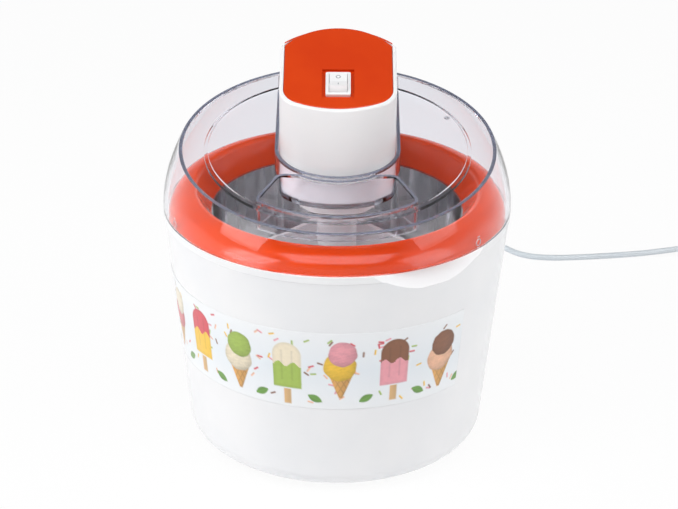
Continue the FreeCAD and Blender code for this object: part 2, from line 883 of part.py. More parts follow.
def make_housing_screws():
    screws = []
    for x, y in post_places():
        head = rod(screw_head_radius, tower_bottom_z, tower_bottom_z + screw_head_height, x, y)
        stem = rod(screw_radius, tower_bottom_z, tower_bottom_z + screw_length, x, y)
        left = x - screw_head_radius
        right = x + screw_head_radius
        half = screw_slot_width / 2
        slot = block(left, right, y - half, y + half, tower_bottom_z, tower_bottom_z + screw_slot_depth)
        screws.append(merged([head, stem]).cut(slot))
    return Part.makeCompound(screws)


def tooth_points(module, teeth):
    """Half a tooth from root to tip as radius and half angle, on an involute flank."""
    pitch = module * teeth / 2
    press = math.radians(pressure_angle)
    base = pitch * math.cos(press)
    root = pitch - tooth_dedendum * module
    tip = pitch + tooth_addendum * module
    half = (math.pi * module / 2 - tooth_backlash) / 2 / pitch
    points = []
    for radius in (max(root, base), pitch, tip):
        slope = math.acos(base / radius)
        points.append((radius, half + math.tan(press) - press - math.tan(slope) + slope))
    if root < base:
        points.insert(0, (root, points[0][1] * tooth_root_share))
    return points


def gear_prism(module, teeth, z0, width, azimuth):
    """Toothed prism about the Z axis with one tooth centred on azimuth."""
    outline = []
    half_tooth = tooth_points(module, teeth)
    for i in range(teeth):
        middle = math.radians(azimuth + 360 * i / teeth)
        flank = [(r, middle - a) for r, a in half_tooth]
        flank += [(r, middle + a) for r, a in reversed(half_tooth)]
        outline += [V(r * math.cos(a), r * math.sin(a), z0) for r, a in flank]
    return Part.Face(Part.makePolygon(outline + outline[:1])).extrude(V(0, 0, width))


def make_output_gear():
    gear = gear_prism(output_module, wheel_teeth, output_gear_z, output_gear_width, 90)
    hub_top_z = output_gear_z + output_gear_width + gear_hub_rise
    hub = rod(2 * output_shaft_radius, output_gear_z - gear_floor_gap / 2, hub_top_z)
    return merged([gear, hub]).cut(rod(output_shaft_radius, 0, FAR))


def make_intermediate_gear():
    pinion_gap = 270 + 180 / pinion_teeth
    pinion_width = input_gear_z - output_gear_z
    pinion = gear_prism(output_module, pinion_teeth, output_gear_z, pinion_width, pinion_gap)
    wheel = gear_prism(input_module, wheel_teeth, input_gear_z, input_gear_width, 90)
    gear = merged([pinion, wheel])
    gear = gear.cut(rod(axle_radius + running_gap, 0, FAR))
    gear.translate(V(0, middle_y, 0))
    return gear


def make_rotor_pinion():
    pinion_gap = 270 + 180 / pinion_teeth
    low_z = input_gear_z - pinion_overlap
    pinion_width = input_gear_width + 2 * pinion_overlap
    pinion = gear_prism(input_module, pinion_teeth, low_z, pinion_width, pinion_gap)
    pinion = pinion.cut(rod(axle_radius, 0, FAR))
    pinion.translate(V(0, rotor_y, 0))
    return pinion


def make_output_shaft():
    stem = rod(output_shaft_radius, drive_top_z, can_z)
    half = drive_square / 2
    return merged([stem, block(-half, half, -half, half, drive_bottom_z, drive_top_z)])


def make_output_bush():
    wall = output_shaft_radius + output_bush_wall
    return ring(output_shaft_radius + running_gap, wall, boss_bottom_z, plate_top_z)


def make_shaft_seal():
    bottom_z = boss_bottom_z - seal_height
    return ring(output_shaft_radius + running_gap, seal_radius, bottom_z, boss_bottom_z)


def make_intermediate_axle():
    return rod(axle_radius, tower_bottom_z + plate_thickness / 2, can_z, 0, middle_y)


def make_gearbox_plate():
    half = gear_plate_half_width
    plate = block(-half, half, gear_plate_front_y, gear_plate_back_y, gear_plate_z, can_z)
    plate = plate.makeFillet(2 * pillar_radius, upright_edges(plate))
    plate = plate.cut(rod(output_shaft_radius + running_gap, 0, FAR))
    plate = plate.cut(rod(axle_radius, 0, FAR, 0, middle_y))
    plate = plate.cut(rod(axle_radius + axle_bush_wall, 0, FAR, 0, rotor_y))
    for x, y in pillar_places():
        plate = plate.cut(rod(screw_radius, 0, FAR, x, y))
    return plate


def make_gearbox_pillars():
    pillars = []
    for x, y in pillar_places():
        bore = rod(screw_radius, can_z - screw_length, FAR, x, y)
        pillars.append(rod(pillar_radius, plate_top_z, gear_plate_z, x, y).cut(bore))
    return Part.makeCompound(pillars)


def make_gearbox_screws():
    screws = []
    for x, y in pillar_places():
        head = rod(screw_head_radius, can_z, can_z + screw_head_height, x, y)
        stem = rod(screw_radius, can_z - screw_length, can_z, x, y)
        screws.append(merged([head, stem]))
    return Part.makeCompound(screws)


def make_motor_can():
    cup = rod(can_radius, can_z, can_top_z, 0, rotor_y)
    cup = cup.cut(rod(can_radius - can_wall, can_z, can_top_z - can_wall, 0, rotor_y))
    neck = rod(2 * axle_radius + axle_bush_wall, can_top_z - can_neck_length, can_top_z, 0, rotor_y)
    return merged([cup, neck]).cut(rod(axle_radius + axle_bush_wall, 0, FAR, 0, rotor_y))


def bobbin_heights():
    return can_z + bobbin_fit_gap, can_top_z - can_neck_length - bobbin_end_gap


def make_coil_bobbin():
    z0, z1 = bobbin_heights()
    outer = can_radius - can_wall - bobbin_fit_gap
    spool = ring(bobbin_inner_radius, outer, z0, z1, 0, rotor_y)
    core = bobbin_inner_radius + bobbin_wall
    groove = ring(core, outer + cut_margin, z0 + bobbin_wall, z1 - bobbin_wall, 0, rotor_y)
    return spool.cut(groove)


def make_coil_winding():
    z0, z1 = bobbin_heights()
    outer = can_radius - can_wall - bobbin_end_gap
    return ring(bobbin_inner_radius + bobbin_wall, outer, z0 + bobbin_wall, z1 - bobbin_wall, 0, rotor_y)


def make_rotor_magnet():
    z0 = can_z + magnet_end_gap
    z1 = can_top_z - can_neck_length - magnet_end_gap
    return ring(axle_radius, magnet_radius, z0, z1, 0, rotor_y)


def make_rotor_shaft():
    return rod(axle_radius, input_gear_z - pinion_overlap, can_top_z, 0, rotor_y)


def make_rotor_bushes():
    inner = axle_radius + running_gap
    outer = axle_radius + axle_bush_wall
    lower = ring(inner, outer, gear_plate_z, can_z, 0, rotor_y)
    upper = ring(inner, outer, can_top_z - can_neck_length, can_top_z, 0, rotor_y)
    return Part.makeCompound([lower, upper])


def make_switch_body():
    half_width = switch_width / 2
    half_length = switch_length / 2
    base_z = -switch_recess_depth
    top_z = base_z + bezel_height
    bezel = block(-half_width, half_width, -half_length, half_length, base_z, top_z)
    bezel = bezel.makeFillet(bezel_corner_radius, upright_edges(bezel))
    body_width = half_width - switch_body_inset
    body_length = half_length - switch_body_inset
    floor_z = base_z - switch_body_depth
    box = block(-body_width, body_width, -body_length, body_length, floor_z, base_z)
    room_width = half_width - bezel_wall
    room_length = half_length - bezel_wall
    room = block(-room_width, room_width, -room_length, room_length, floor_z + switch_floor, top_z)
    body = merged([bezel, box]).cut(room)
    pivot_z = top_z - rocker_pivot_depth
    pin = Part.makeCylinder(axle_radius, 2 * body_width, V(-body_width, 0, pivot_z), V(1, 0, 0))
    return switch_frame(merged([body, pin]))


def make_switch_rocker():
    """Two shallow faces meeting over the pivot, with round ends about the pivot, tipped to the rear."""
    half_width = switch_width / 2 - bezel_wall - rocker_gap
    reach = switch_length / 2 - bezel_wall - rocker_gap
    pivot_z = -switch_recess_depth + bezel_height - rocker_pivot_depth
    end_z = rocker_height + rocker_end_rise
    end_y = math.sqrt(reach ** 2 - end_z ** 2)
    root_y = math.sqrt(reach ** 2 - rocker_root ** 2)
    start = V(-half_width, -root_y, -rocker_root)
    edges = edges_through(start, [
        (V(-half_width, -reach, 0), V(-half_width, -end_y, end_z)),
        V(-half_width, 0, rocker_height - rocker_dip),
        V(-half_width, end_y, end_z),
        (V(-half_width, reach, 0), V(-half_width, root_y, -rocker_root)),
    ])
    rocker = Part.Face(Part.Wire(edges)).extrude(V(2 * half_width, 0, 0))
    bore = Part.makeCylinder(axle_radius + running_gap, 2 * FAR, V(-FAR, 0, 0), V(1, 0, 0))
    rocker = rocker.cut(bore)
    rocker.rotate(V(0, 0, 0), V(1, 0, 0), -rocker_half_turn)
    rocker.translate(V(0, 0, pivot_z))
    return switch_frame(rocker)


def make_switch_terminals():
    top_z = -switch_recess_depth - switch_body_depth
    tabs = []
    half_width = terminal_width / 2
    for i in range(terminal_count):
        y = (i - (terminal_count - 1) / 2) * terminal_pitch
        front_y = y - terminal_thickness / 2
        back_y = y + terminal_thickness / 2
        tab = block(-half_width, half_width, front_y, back_y, top_z - terminal_length, top_z)
        tabs.append(switch_frame(tab))
    return Part.makeCompound(tabs)


def make_paddle():
    low_half = bowl_floor_radius - bowl_corner_radius
    side_half = bowl_floor_radius - paddle_wall_gap
    side_z = bowl_floor_z + bowl_corner_radius + paddle_floor_gap
    neck_z = paddle_top_z - paddle_hub_length
    outer_wire = [
        (low_half, paddle_bottom_z),
        (side_half, side_z),
        (side_half, paddle_shoulder_z),
        (side_half - paddle_bar, paddle_shoulder_z + paddle_bar / 2),
        (paddle_hub_radius, paddle_top_z - paddle_bar),
    ]
    mirror = [(-x, z) for x, z in reversed(outer_wire)]
    plate = profile(outer_wire[0], *outer_wire[1:], *mirror)
    plate.translate(V(0, -paddle_thickness / 2, 0))
    plate = plate.extrude(V(0, paddle_thickness, 0))
    inner = side_half - paddle_bar
    window = profile(
        (paddle_bar / 2, paddle_bottom_z + paddle_bar),
        (low_half - paddle_bar / 2, paddle_bottom_z + paddle_bar),
        (inner, side_z + paddle_bar / 2),
        (inner, paddle_shoulder_z - paddle_bar / 2),
        (paddle_hub_radius, neck_z),
        (paddle_bar / 2, neck_z - paddle_bar / 2),
    )
    window.translate(V(0, -paddle_thickness, 0))
    window = window.extrude(V(0, 2 * paddle_thickness, 0))
    plate = plate.cut(window).cut(window.mirror(V(0, 0, 0), V(1, 0, 0)))
    pieces = [plate, rod(paddle_hub_radius, neck_z, paddle_top_z)]
    for side in (1, -1):
        half_length = paddle_blade_length / 2
        half_thickness = paddle_thickness / 2
        blade = block(-half_length, half_length, -half_thickness, half_thickness, 0, paddle_blade_width)
        blade.rotate(V(0, 0, 0), V(1, 0, 0), side * paddle_blade_tilt)
        blade.translate(V(side * (low_half - half_length), 0, paddle_bottom_z + paddle_thickness))
        pieces.append(blade)
    half = drive_square / 2 + paddle_socket_gap
    socket = block(-half, half, -half, half, drive_bottom_z - cut_margin, FAR)
    return merged(pieces).cut(socket)


def relief_rod(radius, y0, y1):
    return Part.makeCylinder(radius, y1 - y0, V(0, y0, relief_z), V(0, 1, 0))


def make_strain_relief():
    back_y = tail_back_y
    root = V(0, back_y, relief_z)
    cone = Part.makeCone(relief_root_radius, relief_tip_radius, relief_length, root, V(0, 1, 0))
    flange = relief_rod(relief_flange_radius, back_y, back_y + relief_flange_length)
    inner_y = back_y - housing_wall
    stem = relief_rod(relief_tip_radius, inner_y, back_y)
    inner_flange = relief_rod(relief_root_radius, inner_y - relief_flange_length, inner_y)
    return merged([cone, flange, stem, inner_flange])


def rounded_route(name, route):
    """Straight runs joined by arcs as large as the runs allow, with the arcs' radii printed."""
    points = [V(*place) for place in route]
    edges = []
    here = points[0]
    radii = []
    for before, corner, after in zip(points, points[1:], points[2:]):
        come = corner.sub(before)
        go = after.sub(corner)
        turn = come.getAngle(go)
        cut = cord_arc_share * min(come.Length, go.Length)
        radii.append(cut / math.tan(turn / 2))
        enter = corner.sub(V(come).normalize().multiply(cut))
        leave = corner.add(V(go).normalize().multiply(cut))
        centre_way = V(go).normalize().sub(V(come).normalize()).normalize()
        centre = corner.add(centre_way.multiply(radii[-1] / math.cos(turn / 2)))
        middle = centre.add(corner.sub(centre).normalize().multiply(radii[-1]))
        edges.append(Part.LineSegment(here, enter).toShape())
        edges.append(Part.Arc(enter, middle, leave).toShape())
        here = leave
    edges.append(Part.LineSegment(here, points[-1]).toShape())
    print(name, "arc radii", [round(radius, 1) for radius in radii])
    return Part.Wire(edges)


def cord_tube(name, path):
    """Round tube along a path, with its volume set against its section times its length."""
    start = path.Edges[0]
    heading = start.tangentAt(start.FirstParameter)
    section = Part.Wire(Part.makeCircle(cord_diameter / 2, start.valueAt(start.FirstParameter), heading))
    tube = path.makePipeShell([section], True, False)
    expected = math.pi * cord_diameter ** 2 / 4 * path.Length
    print(name, "length", round(path.Length, 1), "volume share", round(tube.Volume / expected, 4))
    return tube


def coil_path():
    """Half turns that spiral in on the lower layer, climb one layer, and spiral out on the upper one."""
    x = coil_radius
    z = coil_z
    sides = [(x, z)]
    step = coil_pitch / 2
    for i in range(coil_half_turns_in):
        radius = coil_radius - i * step
        x = x - math.copysign(2 * radius, x)
        sides.append((x, z))
    z = coil_top_z
    sides.append((-x, z))
    x = -x
    radius = abs(x)
    for i in range(coil_half_turns_in - 1):
        radius += step
        x = x - math.copysign(2 * radius, x)
        sides.append((x, z))
    cx, cy = coil_centre
    first = V(cx + sides[0][0], cy, sides[0][1])
    edges = [Part.LineSegment(first.add(V(0, -cord_diameter, 0)), first).toShape()]
    for (x0, z0), (x1, z1) in zip(sides, sides[1:]):
        bulge = abs(x1 - x0) / 2
        middle_y = cy + math.copysign(bulge, x0)
        middle = V(cx + (x0 + x1) / 2, middle_y, (z0 + z1) / 2)
        half = Part.Arc(V(cx + x0, cy, z0), middle, V(cx + x1, cy, z1))
        edges.append(half.toShape())
    last = V(cx + sides[-1][0], cy, sides[-1][1])
    edges.append(Part.LineSegment(last, last.add(V(0, cord_diameter, 0))).toShape())
    return Part.Wire(edges)


def print_self_gap(path):
    """Least gap of the coil to itself, between points more than two and a half diameters apart along it."""
    step = 1.0
    points = path.discretize(Distance=step)
    skip = int(2.5 * cord_diameter / step)
    least = FAR
    for i, point in enumerate(points):
        least = min([least] + [point.distanceToPoint(other) for other in points[i + skip:]])
    print("coil least gap to itself", round(least - cord_diameter, 2))


def make_cord_coil():
    path = coil_path()
    print_self_gap(path)
    return cord_tube("coil", path)


def make_cord_tie():
    """Flat band round the coil's section at its left side."""
    cx, cy = coil_centre
    inner_x = cx - coil_radius + coil_half_turns_in * coil_pitch / 2 + cord_diameter / 2 + tie_side_gap
    outer_x = cx - coil_radius - cord_diameter / 2 - tie_side_gap
    low_z = coil_z - cord_diameter / 2 - tie_gap
    high_z = coil_top_z + cord_diameter / 2 + tie_gap
    half = tie_width / 2
    inside = block(outer_x, inner_x, cy - half, cy + half, low_z, high_z)
    left = outer_x - tie_thickness
    right = inner_x + tie_thickness
    outside = block(left, right, cy - half, cy + half, low_z - tie_thickness, high_z + tie_thickness)
    along = [edge for edge in outside.Edges if abs(edge.Vertexes[0].Y - edge.Vertexes[-1].Y) > TINY]
    return outside.makeFillet(2 * tie_thickness, along).cut(inside)


def plug_section(x, width, height, corner):
    """Rounded rectangle across the plug at x."""
    half_y = width / 2
    half_z = height / 2
    bend = corner * (1 - math.cos(math.radians(45)))
    y0 = run_route[-1][1]
    start = V(x, y0 + half_y, plug_z - half_z + corner)
    return Part.Wire(edges_through(start, [
        V(x, y0 + half_y, plug_z + half_z - corner),
        (V(x, y0 + half_y - bend, plug_z + half_z - bend), V(x, y0 + half_y - corner, plug_z + half_z)),
        V(x, y0 - half_y + corner, plug_z + half_z),
        (V(x, y0 - half_y + bend, plug_z + half_z - bend), V(x, y0 - half_y, plug_z + half_z - corner)),
        V(x, y0 - half_y, plug_z - half_z + corner),
        (V(x, y0 - half_y + bend, plug_z - half_z + bend), V(x, y0 - half_y + corner, plug_z - half_z)),
        V(x, y0 + half_y - corner, plug_z - half_z),
        (V(x, y0 + half_y - bend, plug_z - half_z + bend), start),
    ]))


def make_plug_body():
    x0 = run_route[-1][0]
    neck = 2 * plug_neck_radius
    sections = [
        plug_section(x0, neck, neck, plug_neck_corner),
        plug_section(x0 + plug_neck_length, plug_waist_width, plug_waist_height, plug_corner),
        plug_section(x0 + plug_shoulder_length, plug_shoulder_width, plug_thickness, plug_corner),
        plug_section(x0 + plug_length, plug_width, plug_thickness, plug_corner),
    ]
    return Part.makeLoft(sections, True, True)


def make_plug_pins():
    x0 = run_route[-1][0] + plug_length
    y0 = run_route[-1][1]
    pins = []
    for side in (1, -1):
        root = V(x0, y0 + side * pin_pitch / 2, plug_z)
        pin = Part.makeCylinder(pin_radius, pin_length, root, V(1, 0, 0))
        tip = max(pin.Edges, key=lambda edge: edge.CenterOfMass.x)
        pins.append(pin.makeFillet(pin_radius / 2, [tip]))
    return Part.makeCompound(pins)


def main():
    os.makedirs("parts", exist_ok=True)
    save("outer_bucket", make_outer_bucket())
    for number in range(foot_count):
        save("rubber_foot_" + str(number + 1), make_foot(number))
    save("bowl_inner", make_bowl_inner())
    save("bowl_outer", make_bowl_outer())
    save("coolant_gel", make_coolant_gel())
    save("bowl_rim_seal", make_bowl_rim_seal())
    save("collar_ring", make_collar_ring())
    save("lid_wall", make_lid_wall())
    save("lid_top", make_lid_top())
    save("paddle", make_paddle())
    save("motor_housing", make_motor_housing())
    save("control_panel", make_control_panel())
    save("motor_base_plate", make_motor_base_plate())
    save("housing_screws", make_housing_screws())
    save("switch_body", make_switch_body())
    save("switch_rocker", make_switch_rocker())
    save("switch_terminals", make_switch_terminals())
    save("gearbox_plate", make_gearbox_plate())
    save("gearbox_pillars", make_gearbox_pillars())
    save("gearbox_screws", make_gearbox_screws())
    save("output_gear", make_output_gear())
    save("output_shaft", make_output_shaft())
    save("output_bush", make_output_bush())
    save("shaft_seal", make_shaft_seal())
    save("intermediate_gear", make_intermediate_gear())
    save("intermediate_axle", make_intermediate_axle())
    save("motor_can", make_motor_can())
    save("coil_bobbin", make_coil_bobbin())
    save("coil_winding", make_coil_winding())
    save("rotor_magnet", make_rotor_magnet())
    save("rotor_shaft", make_rotor_shaft())
    save("rotor_pinion", make_rotor_pinion())
    save("rotor_bushes", make_rotor_bushes())
    save("strain_relief", make_strain_relief())
    save("mains_cord_drop", cord_tube("drop", rounded_route("drop", drop_route)))
    save("cord_coil", make_cord_coil())
    save("cord_tie", make_cord_tie())
    save("mains_cord_run", cord_tube("run", rounded_route("run", run_route)))
    save("plug_body", make_plug_body())
    save("plug_pins", make_plug_pins())


main()
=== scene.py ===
import json
import math
import random

import bmesh
import bpy
from mathutils import Matrix, Vector, noise


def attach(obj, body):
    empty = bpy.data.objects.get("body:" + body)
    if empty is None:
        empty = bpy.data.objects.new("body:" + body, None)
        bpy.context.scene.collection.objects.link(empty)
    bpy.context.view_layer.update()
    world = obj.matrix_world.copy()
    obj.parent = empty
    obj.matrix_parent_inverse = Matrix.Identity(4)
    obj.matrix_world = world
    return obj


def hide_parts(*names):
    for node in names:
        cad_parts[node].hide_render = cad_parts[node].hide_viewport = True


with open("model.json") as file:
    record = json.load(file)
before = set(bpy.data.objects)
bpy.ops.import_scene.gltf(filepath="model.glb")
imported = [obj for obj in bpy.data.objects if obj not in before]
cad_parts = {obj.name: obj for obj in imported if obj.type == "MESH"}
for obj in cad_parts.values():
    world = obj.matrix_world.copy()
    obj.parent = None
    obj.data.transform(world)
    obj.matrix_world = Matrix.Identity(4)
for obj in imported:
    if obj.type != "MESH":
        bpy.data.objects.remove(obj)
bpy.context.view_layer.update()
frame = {"nodes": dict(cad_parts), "record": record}
nodes = frame["nodes"]

# Sizes are in millimetres, in the part's frame: +Z up, the front is -Y. MM turns them into metres.
MM = 0.001

# Camera, fitted to the photo
camera_place = (0.0, -1207.44, 690.9)
camera_tilt = 64.503
camera_roll = 0.5
camera_lens = 115.94
camera_sensor = 36.0
camera_shift = 0.00337

# Bucket's wall, which the printed band lies on
bucket_low_radius = 91.0
bucket_low_z = 14.5
bucket_high_radius = 104.3
bucket_high_z = 145.5

# Printed band
band_low_z = 60.5
band_high_z = 113.0
band_right_azimuth = -42.0
band_span = 148.0
band_thickness = 0.12
band_lift = 0.15
band_step = 0.5

# Motifs of the printed band
motif_pairs = 4
cone_half = 8.2
cone_height = 19.0
cone_low = 5.0
cone_lift = 3.0
wafer_pitch = 3.6
scoop_radius = 9.6
scoop_shrink = 1.2
scoop_rise = 21.5
scoop_step = 8.6
scoop_sways = (0.6, -0.9)
lolly_half = 8.6
lolly_height = 31.0
lolly_low = 15.0
lolly_sink = 2.0
stick_half = 2.2
stick_length = 11.0
leaf_half = 2.4
leaf_length = 9.5
leaf_reach = 11.0
leaf_low = 5.0
leaf_leans = (28, 152)
strand_count = 110
strand_radius = 0.55
strand_length = 2.6
strand_margin = 4

# Lid's domed side and its tilted top
lid_skirt_radius = 105.0
lid_rim_radius = 95.0
lid_bottom_z = 150.8
lid_height = 36.4
lid_slope = 0.157
lid_recess_depth = 1.8
lid_wall = 2.2
lid_bead_height = 0.35
lid_bead_facets = 6
lid_gap_half = 36.5
lid_mark_azimuths = (-154.9, -38.7)
lid_mark_z = 155.0
lid_mark_profile = [(1.7, -0.1), (2.3, -0.1), (2.2, 0.2), (1.8, 0.2)]
gate_scar_place = (66.8, 36.2)
gate_scar_profile = [(0.5, -0.1), (1.7, -0.1), (1.5, 0.3), (0.6, 0.15)]

# Filler opening: its inner arc passes the shoulders, and its horns and outer corners are rounded
filler_outer_radius = 72.5
filler_inner_y = -37.4
filler_shoulder = (22.0, -31.0)
filler_horn = (34.0, -30.0)
filler_corner_x = 46.0
filler_corner_radius = 4.0
filler_wall = 1.8

# Plan of the well that the motor unit stands in
well_half_width = 35.5
well_front_y = -31.0
well_front_radius = 40.8
well_corner_radius = 30.8
well_end_y = 66.0

# Switch on the tilted top panel
top_axis_z = 229.3
top_tilt = 18.0
switch_y = -3.4
rocker_pivot_z = -1.9
rocker_half_turn = 9.0
rocker_middle_z = 3.5
rocker_end = (6.9, 4.5)
rocker_mark_share = 0.58
off_mark_profile = [(1.05, -0.02), (1.45, -0.02), (1.42, 0.05), (1.08, 0.05)]
on_mark_length = 2.6
on_mark_width = 0.45
on_mark_height = 0.07
on_mark_sink = 0.02

# Cord, strain relief and plug
cord_diameter = 4.2
relief_y = 86.0
relief_z = 200.0
relief_length = 26.0
relief_root_radius = 4.4
relief_tip_radius = 2.9
rib_count = 6
rib_start = 5.0
rib_pitch = 3.2
rib_sink = 0.4
rib_rise = 0.45
rib_root_half = 0.8
rib_crest_half = 0.55
coil_centre = (-10.0, 205.0)
coil_sides = (27.0, -27.0, 22.2, -22.2, 17.4, -17.4, 22.2, -22.2, 27.0)
coil_low_z = 3.15
coil_high_z = 7.95
coil_climb = 4
coil_points = 8
plug_x = 258.0
plug_y = 244.5
plug_top_z = 13.1
grip_count = 4
grip_start = 26.5
grip_pitch = 2.6
grip_length = 17.0
grip_width = 1.3
grip_height = 0.65
grip_sink = 0.1

drop_route = [
    (0, 112, 200), (0, 128, 200), (1, 149, 189), (3, 162, 166), (5, 166, 133), (7, 164, 99),
    (10, 160, 66), (13, 161, 37), (15.5, 168, 16), (17, 183, 3.15), (17, 200.8, 3.15),
]
run_route = [
    (17, 209.2, 7.95), (17, 221, 7.95), (19.5, 237, 5.2), (27, 254, 2.7), (42, 267, 2.15),
    (62, 274, 2.15), (82, 275.5, 2.15), (100, 272, 2.15), (114, 264.5, 2.15), (123.5, 251.5, 2.15),
    (134, 239.5, 2.15), (149, 234.3, 2.15), (170, 234.8, 2.15), (198, 238.5, 2.15), (229, 243, 2.6),
    (258, 244.5, 6.6),
]

# Studio, in metres and watts: each lamp's place, its width and height, and its power
floor_half = 6.0
floor_drop = 0.0002
floor_glow = 0.94
lamp_aim = (0.0, 0.0, 0.12)
softboxes = {
    "left_softbox": ((-1.25, -0.65, 0.95), (0.8, 1.0), 11.2),
    "right_softbox": ((1.25, -0.55, 0.95), (0.8, 1.0), 6.2),
    "top_softbox": ((0.0, -0.55, 1.7), (1.4, 1.0), 15.5),
}


# Helpers

def linear(code):
    """sRGB hex colour as linear RGBA."""
    shares = [int(code[i:i + 2], 16) / 255 for i in (1, 3, 5)]
    return tuple(s / 12.92 if s <= 0.04045 else ((s + 0.055) / 1.055) ** 2.4 for s in shares) + (1.0,)


def per(size):
    """Texture scale for features of a size in millimetres."""
    return 1 / (size * MM)


def add(tree, kind, values=None, links=None, **settings):
    """Adds a node, sets its properties and input values, and links its inputs to other nodes' outputs."""
    node = tree.nodes.new(kind)
    for key, value in settings.items():
        setattr(node, key, value)
    for key, value in (values or {}).items():
        node.inputs[key].default_value = value
    for key, output in (links or {}).items():
        tree.links.new(output, node.inputs[key])
    return node


def principled(name, values):
    """New material with a Principled shader, its values, and the part's own coordinates."""
    material = bpy.data.materials.new(name)
    material.use_nodes = True
    tree = material.node_tree
    shader = tree.nodes["Principled BSDF"]
    for key, value in values.items():
        shader.inputs[key].default_value = value
    place = add(tree, "ShaderNodeTexCoord").outputs["Object"]
    return material, tree, shader, place


def tinted(tree, shader, place, colours, size):
    """Base colour that drifts between two colours over a size in millimetres."""
    cloud = add(tree, "ShaderNodeTexNoise", {"Scale": per(size), "Detail": 3.0}, {"Vector": place})
    ramp = add(tree, "ShaderNodeValToRGB", links={"Fac": cloud.outputs["Fac"]})
    for stop, share, colour in zip(ramp.color_ramp.elements, (0.35, 0.65), colours):
        stop.position = share
        stop.color = linear(colour)
    tree.links.new(ramp.outputs["Color"], shader.inputs["Base Color"])


def glossed(tree, shader, place, limits, size):
    """Roughness that drifts between two limits over a size in millimetres."""
    cloud = add(tree, "ShaderNodeTexNoise", {"Scale": per(size), "Detail": 4.0}, {"Vector": place})
    spread = add(
        tree, "ShaderNodeMapRange",
        {"From Min": 0.3, "From Max": 0.7, "To Min": limits[0], "To Max": limits[1]},
        {"Value": cloud.outputs["Fac"]},
    )
    tree.links.new(spread.outputs["Result"], shader.inputs["Roughness"])


def dimpled(tree, shader, place, size, depth):
    """Fine bump of a grain size and a depth, both in millimetres."""
    grit = add(tree, "ShaderNodeTexNoise", {"Scale": per(size), "Detail": 2.0}, {"Vector": place})
    bump = add(
        tree, "ShaderNodeBump", {"Strength": 1.0, "Distance": depth * MM}, {"Height": grit.outputs["Fac"]}
    )
    tree.links.new(bump.outputs["Normal"], shader.inputs["Normal"])


def grained(name, colours, roughness, grain, depth, values):
    """Plain skin: colour and gloss drift slowly, over a fine grain."""
    material, tree, shader, place = principled(name, values)
    tinted(tree, shader, place, colours, 45.0)
    glossed(tree, shader, place, roughness, 18.0)
    dimpled(tree, shader, place, grain, depth)
    return material


def ridged(tree, shader, place, spacing, depth, distortion, **settings):
    """Even ridges, spaced and raised in millimetres; a wave texture turns 20 radians per unit of scale."""
    waves = add(
        tree, "ShaderNodeTexWave", {"Scale": per(spacing) * math.tau / 20, "Distortion": distortion},
        {"Vector": place}, **settings,
    )
    bump = add(
        tree, "ShaderNodeBump", {"Strength": 1.0, "Distance": depth * MM}, {"Height": waves.outputs["Fac"]}
    )
    tree.links.new(bump.outputs["Normal"], shader.inputs["Normal"])


def turned_metal(name, colours, roughness, groove, depth):
    """Spun or turned metal: rings about the upright axis, with gloss that drifts across them."""
    material, tree, shader, place = principled(name, {"Metallic": 1.0})
    tinted(tree, shader, place, colours, 30.0)
    glossed(tree, shader, place, roughness, 12.0)
    ridged(tree, shader, place, groove, depth, 1.5, wave_type="RINGS", rings_direction="Z")
    return material


# Materials

def white_abs():
    """Injection-moulded white ABS: clean, half glossy, with a barely wavy skin."""
    return grained("moulded_white_abs", ("#EFF0F2", "#F3F3F4"), (0.2, 0.27), 1.6, 0.004, {"IOR": 1.53})


def orange_abs():
    """Polished orange ABS: deep colour under a sharp gloss."""
    return grained("polished_orange_abs", ("#D23B08", "#D9420A"), (0.12, 0.18), 2.4, 0.003, {"IOR": 1.5})


def clear_san():
    """Clear polished SAN: a glass-like wall whose edges turn blue-grey where light travels far in them.

    SAN's IOR is 1.57; it is set lower here, so that the lid mirrors the room as little as the real one does.
    """
    values = {
        "Base Color": linear("#FBFBFE"), "IOR": 1.3, "Transmission Weight": 1.0, "Roughness": 0.015,
    }
    material, tree, shader, place = principled("clear_polished_san", values)
    dimpled(tree, shader, place, 26.0, 0.02)
    tint = add(tree, "ShaderNodeVolumeAbsorption", {"Color": linear("#9FA3B8"), "Density": 14.0})
    tree.links.new(tint.outputs["Volume"], tree.nodes["Material Output"].inputs["Volume"])
    return material


def polished_aluminium():
    """Spun and polished aluminium: a soft mirror with faint rings, drawn 5 mm apart so that they show."""
    return turned_metal("spun_aluminium", ("#EBEBED", "#F1F1F2"), (0.06, 0.1), 5.03, 0.003)


def freezing_gel():
    """Sealed freezing gel: pale blue and translucent."""
    return grained("freezing_gel", ("#6C9BB8", "#82AFC8"), (0.3, 0.4), 6.0, 0.02, {"Subsurface Weight": 0.4})


def black_rubber():
    """Moulded black rubber: matt, with a fine eroded grain."""
    return grained("moulded_black_rubber", ("#1B1B1D", "#242426"), (0.65, 0.8), 0.7, 0.03, {"IOR": 1.52})


def grey_rubber():
    """Moulded grey silicone rubber: matt and a little waxy."""
    return grained("moulded_grey_silicone", ("#8E9094", "#9A9CA0"), (0.5, 0.62), 0.9, 0.02, {"IOR": 1.43})


def bright_steel():
    """Turned and zinc-plated steel: cool and bright, with tool rings drawn 3 mm apart so that they show."""
    return turned_metal("plated_steel", ("#9C9DA1", "#ADAEB2"), (0.24, 0.34), 3.14, 0.004)


def sintered_bronze():
    """Sintered bronze: warm, dull and finely porous."""
    return grained("sintered_bronze", ("#94703F", "#A67F4A"), (0.45, 0.55), 0.4, 0.02, {"Metallic": 1.0})


def stamped_brass():
    """Stamped brass: bright yellow metal with a rolled skin."""
    return grained("stamped_brass", ("#B8924A", "#C49F58"), (0.25, 0.35), 0.5, 0.006, {"Metallic": 1.0})


def natural_acetal():
    """Moulded natural acetal: milky and waxy."""
    values = {"IOR": 1.48, "Subsurface Weight": 0.2}
    return grained("natural_acetal", ("#E2DFD2", "#EBE8DC"), (0.35, 0.45), 0.8, 0.008, values)


